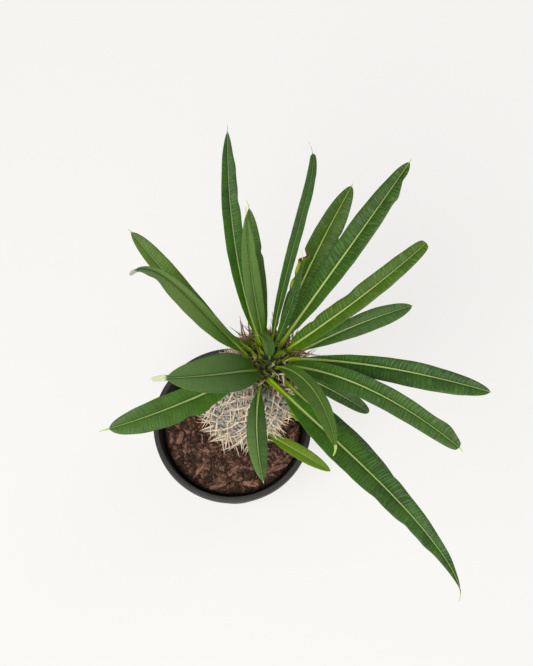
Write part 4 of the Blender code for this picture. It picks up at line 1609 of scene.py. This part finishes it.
def leaf_finish(leaves):
    """One finish for every blade, steered by what each mesh carries."""
    made = Finish("leaf_blade")
    place = made.place
    offset, reach, edge, rib, fresh, under, blue, *rest = map(made.mark, CARRIED)
    thread, scar, lush, veins, pale, ribs = rest
    away = made.math("ABSOLUTE", offset)
    hand = made.times(made.math("SIGN", offset), 4.7)
    mottle = made.noise(place, 75, 3, 0.6)
    patch = made.noise(place, 150, 3, 0.6)
    fine = made.noise(place, 1500, 3, 0.6)

    # Side veins, and the quilting between them
    phase, wave = side_veins(made, reach, away, hand, leaves.vein_pitch)
    ripple = made.smooth(wave, 0.04, 0.40)
    band = made.math("DIVIDE", away, rib)
    off_rib = made.smooth(band, 1.1, 2.6)
    on_blade = made.flip(made.smooth(edge, 0.80, 0.98))
    on_blade = made.times(made.times(on_blade, off_rib), veins)
    shown = made.times(on_blade, made.between(made.smooth(patch, 0.36, 0.66), 0.15, 1.0))
    line = made.times(made.flip(made.smooth(wave, 0.02, 0.16)), shown)

    # Painted sheen: fine pale streaks across each half, between the side veins
    sheen_hatch = made.join(made.times(phase, 2.6), made.times(away, 130), hand)
    sheen_hatch = made.smooth(made.noise(sheen_hatch, 1.0, 3, 0.65), 0.40, 0.68)
    outer = made.times(made.smooth(edge, 0.12, 0.60), made.flip(lush))
    ribbed = made.flip(made.smooth(band, 0.72, 1.25))
    shoulder = made.flip(made.smooth(band, 1.2, 5.0))

    # Colours, from the broad ones to the veins, the margin, the midrib and the awn
    colour = made.blend(made.smooth(mottle, 0.36, 0.66), leaves.deep, leaves.bright)
    vivid = made.times(lush, made.between(patch, 0.35, 1.0))
    colour = made.blend(vivid, colour, leaves.vivid)
    colour = made.blend(made.times(blue, 0.7), colour, leaves.blue)
    # Painted light: a pale look pales a leaf, one half more than the other, as painted sheen; a dark
    # look darkens it towards deep green as painted shade
    paled = made.times(made.math("MAXIMUM", pale, 0.0), off_rib)
    paled = made.times(paled, made.between(lush, 1.0, 0.35))
    colour = made.blend(paled, colour, leaves.pale)
    shaded = made.math("MAXIMUM", made.times(pale, -1.0), 0.0)
    colour = made.blend(shaded, colour, leaves.deep)
    # Painted sheen on the outer blade, weaker on leaves darkened by painted shade
    frost = made.times(sheen_hatch, outer)
    frost = made.times(frost, made.between(blue, 0.22, 1.0))
    frost = made.times(frost, made.between(veins, 0.3, 1.0))
    frost = made.times(frost, made.flip(shaded))
    colour = made.blend(frost, colour, leaves.frost)
    dent = made.times(made.times(ripple, shown), 0.34)
    colour = made.blend(dent, colour, leaves.deep)
    colour = made.blend(made.times(shoulder, 0.45), colour, leaves.deep)
    colour = made.blend(made.times(fresh, 0.9), colour, leaves.young)
    colour = made.blend(made.smooth(fresh, 1.0, 1.6), colour, leaves.sunny)
    veined = made.times(line, 0.42)
    colour = made.blend(veined, colour, leaves.vein)
    rim = made.times(made.smooth(edge, 0.93, 1.0), made.between(blue, 0.3, 0.7))
    colour = made.blend(rim, colour, leaves.rim)
    colour = made.blend(made.times(under, 0.75), colour, leaves.under)
    stalk = made.blend(made.smooth(fresh, 0.30, 0.90), leaves.midrib, leaves.stalk)
    colour = made.blend(made.times(ribbed, ribs), colour, stalk)
    awn = made.blend(fresh, leaves.thread, leaves.fresh_thread)
    colour = made.blend(thread, colour, awn)
    made.feed("Base Color", made.blend(scar, colour, leaves.scorched))

    rough = made.between(fine, 0.30, 0.46)
    rough = made.plus(rough, made.times(under, 0.18))
    made.feed("Roughness", made.plus(rough, made.times(mottle, 0.10)))
    made.fix("Specular IOR Level", 0.20)
    quilt = made.times(ripple, on_blade)
    made.emboss((quilt, 0.00026), (patch, 0.0005), (fine, 0.00006))
    return made.material


# What each point of a leaf carries: how far it is from the midrib and along it, how near the margin,
# the midrib's half width, and how much of each look it has
CARRIED = (
    "offset", "reach", "edge", "rib", "fresh", "under", "blue",
    "thread", "scar", "lush", "veins", "pale", "ribs",
)
# Where the columns of points run, as shares of the half width
COLUMNS = (0, 0.035, 0.07, 0.12, 0.19, 0.28, 0.39, 0.51, 0.63, 0.75, 0.86, 0.94, 1)
STATIONS = 104
SHORT_LEAF = 40  # leaves shorter than this, in mm, have half as many stations
SEAT_SINK = 0.0018  # how far a leaf's foot lies in the stem
AWN_STEPS = 6


# A leaf's section: share of the length, distance from the seat, half width, half thickness, the
# midrib's half width and how far it stands out below, and how free the margin is to wave
Section = namedtuple("Section", "along reach width half rib keel free")
LEAF_SHIFT = 0.37  # so that no two leaves have the same veins
NOTCH = 1.4  # how sharply a bite or a swelling ends


def section_at(leaf, leaves, along):
    """The sizes of a leaf's section at a share of its length."""
    width = half_width(leaf, along) * (1.18 - 0.18 * ease(along, 0.0, 0.16))
    width = max(width, leaves.awn * BROAD_AWNS.get(leaf.name, 1.0) * ease(along, 0.95, 1.0))
    slender = min(1.0, leaf.width / SLENDER_WIDTH)
    stalky = max(0.0, 1 - along / STALKY_SHARE)
    half = (leaves.thickness + (PETIOLE_THICKNESS - leaves.thickness) * stalky) * slender / 2
    half = min(half, max(width * 0.5, TIP_RADIUS))
    rib = (0.00016 + 0.00056 * (1 - along) ** 1.5) * slender * min(1.15, leaf.width / 15) + 0.0001
    rib = min(rib, width * 0.55)
    keel = min(KEEL * (1 - along) * slender, width)
    free = ease(along, 0.12, 0.35) * (1 - ease(along, 0.90, 0.99))
    return Section(along, along * (leaf.length * MM), width, half, rib, keel, free)


def marked(leaf, hand, reach, kind):
    """How much depth or brown the marks on one margin give a place."""
    total = 0.0
    for mark in MARKS.get(leaf.name, ()):
        if mark.side == hand:
            gap = (reach - mark.share * leaf.length * MM) / (mark.span * MM)
            total += getattr(mark, kind) * math.exp(-gap * gap * NOTCH)
    return total


def yellowing(leaf, along):
    """How yellow the left margin is at a share of the length."""
    if leaf.name not in YELLOWED:
        return 0.0
    start, end = YELLOWED[leaf.name]
    return 1.5 * ease(along, start - 0.03, start + 0.02) * (1 - ease(along, end - 0.04, end + 0.04))


def blade_shape(leaf, leaves, order, part, a, below):
    """The half width of a section on one side, and how high its point at a share of that lies."""
    look = LOOKS[leaf.name]
    hand = 1 if a > 0 else -1
    seed = Vector((part.reach * 55, hand * 3.7 + order * 11.3, 0.4))
    ragged = 1 + 0.035 * noise.noise(seed * 1.6) * part.free
    ragged -= marked(leaf, hand, part.reach, "depth")
    wide = part.width * ragged * (1 + hand * look.lean * ease(part.along, 0.05, 0.3))
    fold = abs(a) * (1.48 - 0.48 * abs(a))
    waving = noise.noise(seed) + 0.5 * noise.noise(seed * 2.3)
    lift = leaves.wave * look.wave * abs(a) ** 2.5 * waving * part.free
    lift = part.width * leaves.fold * fold + lift
    body = part.half * (1 - abs(a) ** 3) ** 0.5
    if below:
        keel = math.exp(-((a * part.width / (part.rib * 1.5)) ** 2))
        return wide, lift - body - part.keel * keel
    groove = math.exp(-((a * part.width / max(part.rib, 1e-5)) ** 2))
    return wide, lift + body - min(part.half * 0.45, 0.0003) * groove


def blade_row(leaf, order, part, a, below):
    """What a point of a section carries, in the order of CARRIED."""
    look = LOOKS[leaf.name]
    along, out = part.along, abs(a)
    hand = 1 if a > 0 else -1
    beside = math.exp(-((a * part.width / (part.rib * 2.0)) ** 2))
    fresh = (1 - ease(along, 0.0, 0.34)) ** 1.3 * beside
    fresh = max(fresh, (1 - ease(along, 0.0, 0.16)) ** 1.3, look.young)
    if hand > 0:
        fresh = max(fresh, yellowing(leaf, along) * ease(out, 0.30, 0.85))
    brown = marked(leaf, hand, part.reach, "brown")
    scarred = min(1.0, brown * ease(out, 0.50, 0.82) * 1.7)
    blue = look.blue * ease(along, 0.1, 0.6)
    rim = 0.75 * ease(out, 0.84, 0.97) * (1 - ease(along, 0.7, 0.9))
    lush = max(1 - ease(along, 0.12, 0.72), rim)
    # Painted sheen on the whole leaf, stronger on one half as painted light from one side
    pale = look.pale * (1 + hand * look.split)
    ribs = max(look.ribs * (1 - 0.45 * ease(along, 0.45, 0.95)), 1 - ease(along, 0.0, 0.3))
    place = (a * part.width, part.reach + order * LEAF_SHIFT, out, part.rib)
    return place + (fresh, below, blue, 0, scarred, lush, look.veins, pale, ribs)


def blade_ring(leaf, leaves, order, along, point, heading, rise):
    """Points and carried values round one section of a leaf, from the left margin over the top."""
    part = section_at(leaf, leaves, along)
    _, side, up = across(heading, rise, leaf.roll)
    top = [-column for column in COLUMNS[:0:-1]] + list(COLUMNS)
    ring, rows = [], []
    for a, below in [(a, 0.0) for a in top] + [(a, 1.0) for a in top[-2:0:-1]]:
        wide, height = blade_shape(leaf, leaves, order, part, a, below)
        ring.append(point + side * a * wide + up * height)
        rows.append(blade_row(leaf, order, part, a, below))
    return ring, rows


def awn_rings(leaf, leaves, tip, count):
    """Sections of the thread at a leaf's tip, and what each of their points carries."""
    _, point, heading, rise = tip
    point = point.copy()
    dry = leaf.name in PALE_AWNS
    plain = dict.fromkeys(CARRIED, 0.0)
    plain.update(reach=leaf.length * MM, rib=0.001, fresh=0.0 if dry else 0.9, thread=1.0)
    row = tuple(plain.values())
    rings = []
    for index in range(1, AWN_STEPS + 1):
        done = index / AWN_STEPS
        ahead, side, up = across(heading + leaf.awn_turn * done, rise, leaf.roll)
        point += ahead * leaf.awn * MM / AWN_STEPS
        radius = leaves.awn * (1.15 - 0.85 * done) * min(1.0, leaf.width / 10)
        broad = radius * BROAD_AWNS.get(leaf.name, 1.0)
        if dry and done < 0.9:
            broad *= 1 + 0.8 * done
        ring = []
        for corner in range(count):
            angle = math.pi - math.tau * corner / count
            ring.append(point + side * math.cos(angle) * broad + up * math.sin(angle) * radius)
        rings.append(ring)
    return rings, [[row] * count for _ in rings]


def leaf_mesh(leaf, leaves, order):
    """A leaf's closed blade, with the values that steer its finish."""
    track = midrib(leaf)
    rings, values = [], []
    steps = STATIONS if leaf.length > SHORT_LEAF else STATIONS // 2
    for station in range(steps + 1):
        x = station / steps
        along = 0.55 * x + 0.45 * math.sin(x * math.pi / 2)
        point, heading, rise = station_at(track, along)
        if station == 0:
            point = point - direction(heading, rise) * SEAT_SINK
        ring, rows = blade_ring(leaf, leaves, order, along, point, heading, rise)
        rings.append(ring)
        values.append(rows)
    if leaf.awn:
        more_rings, more_values = awn_rings(leaf, leaves, track[-1], len(rings[0]))
        rings += more_rings
        values += more_values
    points = [point for ring in rings for point in ring]
    faces = tube_faces(len(rings), len(rings[0]))
    mesh = mesh_of(leaf.name + "_blade", points, faces)
    table = np.array([row for rows in values for row in rows], dtype=np.float32)
    for index, name in enumerate(CARRIED):
        carry(mesh, name, table[:, index])
    outward(mesh)
    return mesh


def build_leaves(leaves):
    """Every leaf as a closed blade on its CAD leaf's line, checked against that leaf's box."""
    finish = leaf_finish(leaves)
    for order, leaf in enumerate(LEAVES):
        mesh = leaf_mesh(leaf, leaves, order)
        spots = np.array([vertex.co[:] for vertex in mesh.vertices])
        low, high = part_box(leaf.name)
        drift = max(
            np.abs(spots.min(axis=0) - np.array(low)).max(),
            np.abs(spots.max(axis=0) - np.array(high)).max(),
        )
        if drift > LEAF_DRIFT:
            raise RuntimeError(f"{leaf.name} lies {drift * 1000:.1f} mm off its CAD node")
        seat(new_item(leaf.name + "_blade", mesh, finish), "leaf_green", leaf.name)


# ---------------------------------------------------------------- stage


def floor_finish(stage):
    """A pale matt floor that gives off a little light."""
    made = Finish("floor")
    cloudy = made.noise(made.place, 1.6, 2)
    pale = tuple(channel * 0.985 for channel in stage.floor)
    made.feed("Base Color", made.blend(cloudy, stage.floor, pale))
    made.fix("Roughness", 0.95)
    made.fix("Specular IOR Level", 0.0)
    made.fix("Emission Color", rgba(stage.glow_tint))
    made.fix("Emission Strength", stage.glow)
    return made.material


# Where the lamps stand and what they shine on, in metres, and how wide they are
LAMP_AIM = (0.02, 0.0, 0.18)
KEY_PLACE, KEY_WIDTH = (-0.40, -0.78, 1.65), 1.2
FILL_PLACE, FILL_WIDTH = (1.3, 0.9, 1.1), 1.0


def add_light(name, place, width, power, colour):
    """A round lamp that shines on the middle of the plant."""
    lamp = bpy.data.lights.new(name, "AREA")
    lamp.shape = "DISK"
    lamp.size = width
    lamp.energy = power
    lamp.color = colour
    item = bpy.data.objects.new(name, lamp)
    item.location = place
    item.rotation_euler = (Vector(LAMP_AIM) - Vector(place)).to_track_quat("-Z", "Y").to_euler()
    bpy.context.scene.collection.objects.link(item)


def build_stage(stage):
    """A camera, a pale floor, and soft studio light."""
    camera = bpy.data.cameras.new("camera")
    camera.lens = stage.lens
    item = bpy.data.objects.new("camera", camera)
    back = Vector((0, -math.cos(stage.elevation), math.sin(stage.elevation)))
    item.location = Vector(stage.aim) + back * stage.distance
    item.rotation_euler = (math.pi / 2 - stage.elevation, 0, 0)
    bpy.context.scene.collection.objects.link(item)
    bpy.context.scene.camera = item
    bpy.context.scene.view_settings.view_transform = "Standard"

    reach = stage.floor_reach
    corners = [(-reach, -reach, 0), (reach, -reach, 0), (reach, reach, 0), (-reach, reach, 0)]
    mesh = mesh_of("floor", corners, [(0, 1, 2, 3)])
    new_item("floor", mesh, floor_finish(stage), smooth=False)

    world = bpy.data.worlds.new("room")
    world.use_nodes = True
    light = world.node_tree.nodes["Background"]
    light.inputs["Color"].default_value = rgba(stage.sky_tint)
    light.inputs["Strength"].default_value = stage.sky
    bpy.context.scene.world = world
    add_light("key", KEY_PLACE, KEY_WIDTH, stage.key, stage.key_tint)
    add_light("fill", FILL_PLACE, FILL_WIDTH, stage.fill, stage.fill_tint)


# ---------------------------------------------------------------- operators and panel


class PLANT_OT_make_pot(bpy.types.Operator):
    """Make the nursery pot with its folded lip and drain holes"""

    bl_idname = "plant.make_pot"
    bl_label = "Make Pot"
    bl_options = {"REGISTER", "UNDO"}

    def execute(self, context):
        build_pot(context.scene.plant_pot)
        return {"FINISHED"}


class PLANT_OT_make_soil(bpy.types.Operator):
    """Fill the pot with potting mix and scatter chips, crumbs and slivers on it"""

    bl_idname = "plant.make_soil"
    bl_label = "Make Soil"
    bl_options = {"REGISTER", "UNDO"}

    def execute(self, context):
        build_soil(context.scene.plant_soil, context.scene.plant_pot)
        return {"FINISHED"}


class PLANT_OT_make_bark(bpy.types.Operator):
    """Lay the larger bark pieces on the soil"""

    bl_idname = "plant.make_bark"
    bl_label = "Make Bark"
    bl_options = {"REGISTER", "UNDO"}

    def execute(self, context):
        build_bark(context.scene.plant_soil)
        return {"FINISHED"}


class PLANT_OT_make_stem(bpy.types.Operator):
    """Make the leaning stem with its tubercles"""

    bl_idname = "plant.make_stem"
    bl_label = "Make Stem"
    bl_options = {"REGISTER", "UNDO"}

    def execute(self, context):
        build_stem(context.scene.plant_stem)
        return {"FINISHED"}


class PLANT_OT_make_spines(bpy.types.Operator):
    """Grow the spines on the tubercles and round the crown"""

    bl_idname = "plant.make_spines"
    bl_label = "Make Spines"
    bl_options = {"REGISTER", "UNDO"}

    def execute(self, context):
        build_spines(context.scene.plant_spines, context.scene.plant_stem)
        return {"FINISHED"}


class PLANT_OT_make_buds(bpy.types.Operator):
    """Make the young leaves crowded on the crown"""

    bl_idname = "plant.make_buds"
    bl_label = "Make Buds"
    bl_options = {"REGISTER", "UNDO"}

    def execute(self, context):
        build_buds(context.scene.plant_buds, context.scene.plant_stem)
        return {"FINISHED"}


class PLANT_OT_make_leaves(bpy.types.Operator):
    """Make every leaf with its stalk, midrib, veins and awn"""

    bl_idname = "plant.make_leaves"
    bl_label = "Make Leaves"
    bl_options = {"REGISTER", "UNDO"}

    def execute(self, context):
        build_leaves(context.scene.plant_leaves)
        return {"FINISHED"}


class PLANT_OT_make_stage(bpy.types.Operator):
    """Set up the camera, the pale floor and the soft lights"""

    bl_idname = "plant.make_stage"
    bl_label = "Make Stage"
    bl_options = {"REGISTER", "UNDO"}

    def execute(self, context):
        build_stage(context.scene.plant_stage)
        return {"FINISHED"}


GROUPS = (
    ("plant_stage", StageSettings, PLANT_OT_make_stage),
    ("plant_pot", PotSettings, PLANT_OT_make_pot),
    ("plant_soil", SoilSettings, PLANT_OT_make_soil),
    ("plant_stem", StemSettings, PLANT_OT_make_stem),
    ("plant_spines", SpineSettings, PLANT_OT_make_spines),
    ("plant_buds", BudSettings, PLANT_OT_make_buds),
    ("plant_leaves", LeafSettings, PLANT_OT_make_leaves),
)


class PLANT_PT_sidebar(bpy.types.Panel):
    """Lists the plant's settings and what makes each piece"""

    bl_label = "Potted Pachypodium"
    bl_idname = "PLANT_PT_sidebar"
    bl_space_type = "VIEW_3D"
    bl_region_type = "UI"
    bl_category = "Plant"

    def draw(self, context):
        for key, group, operator in GROUPS:
            box = self.layout.box()
            box.operator(operator.bl_idname)
            if key == "plant_soil":
                box.operator(PLANT_OT_make_bark.bl_idname)
            settings = getattr(context.scene, key)
            for name in group.__annotations__:
                box.prop(settings, name)


CLASSES = (
    PotSettings,
    SoilSettings,
    StemSettings,
    SpineSettings,
    BudSettings,
    LeafSettings,
    StageSettings,
    PLANT_OT_make_pot,
    PLANT_OT_make_soil,
    PLANT_OT_make_bark,
    PLANT_OT_make_stem,
    PLANT_OT_make_spines,
    PLANT_OT_make_buds,
    PLANT_OT_make_leaves,
    PLANT_OT_make_stage,
    PLANT_PT_sidebar,
)


def register():
    for item in CLASSES:
        bpy.utils.register_class(item)
    for key, group, _ in GROUPS:
        setattr(bpy.types.Scene, key, bpy.props.PointerProperty(type=group))


def unregister():
    for key, _, _ in GROUPS:
        delattr(bpy.types.Scene, key)
    for item in reversed(CLASSES):
        bpy.utils.unregister_class(item)


def main():
    register()
    bpy.ops.plant.make_stage()
    bpy.ops.plant.make_pot()
    bpy.ops.plant.make_soil()
    bpy.ops.plant.make_bark()
    bpy.ops.plant.make_stem()
    bpy.ops.plant.make_spines()
    bpy.ops.plant.make_buds()
    bpy.ops.plant.make_leaves()


if __name__ == "__main__":
    main()
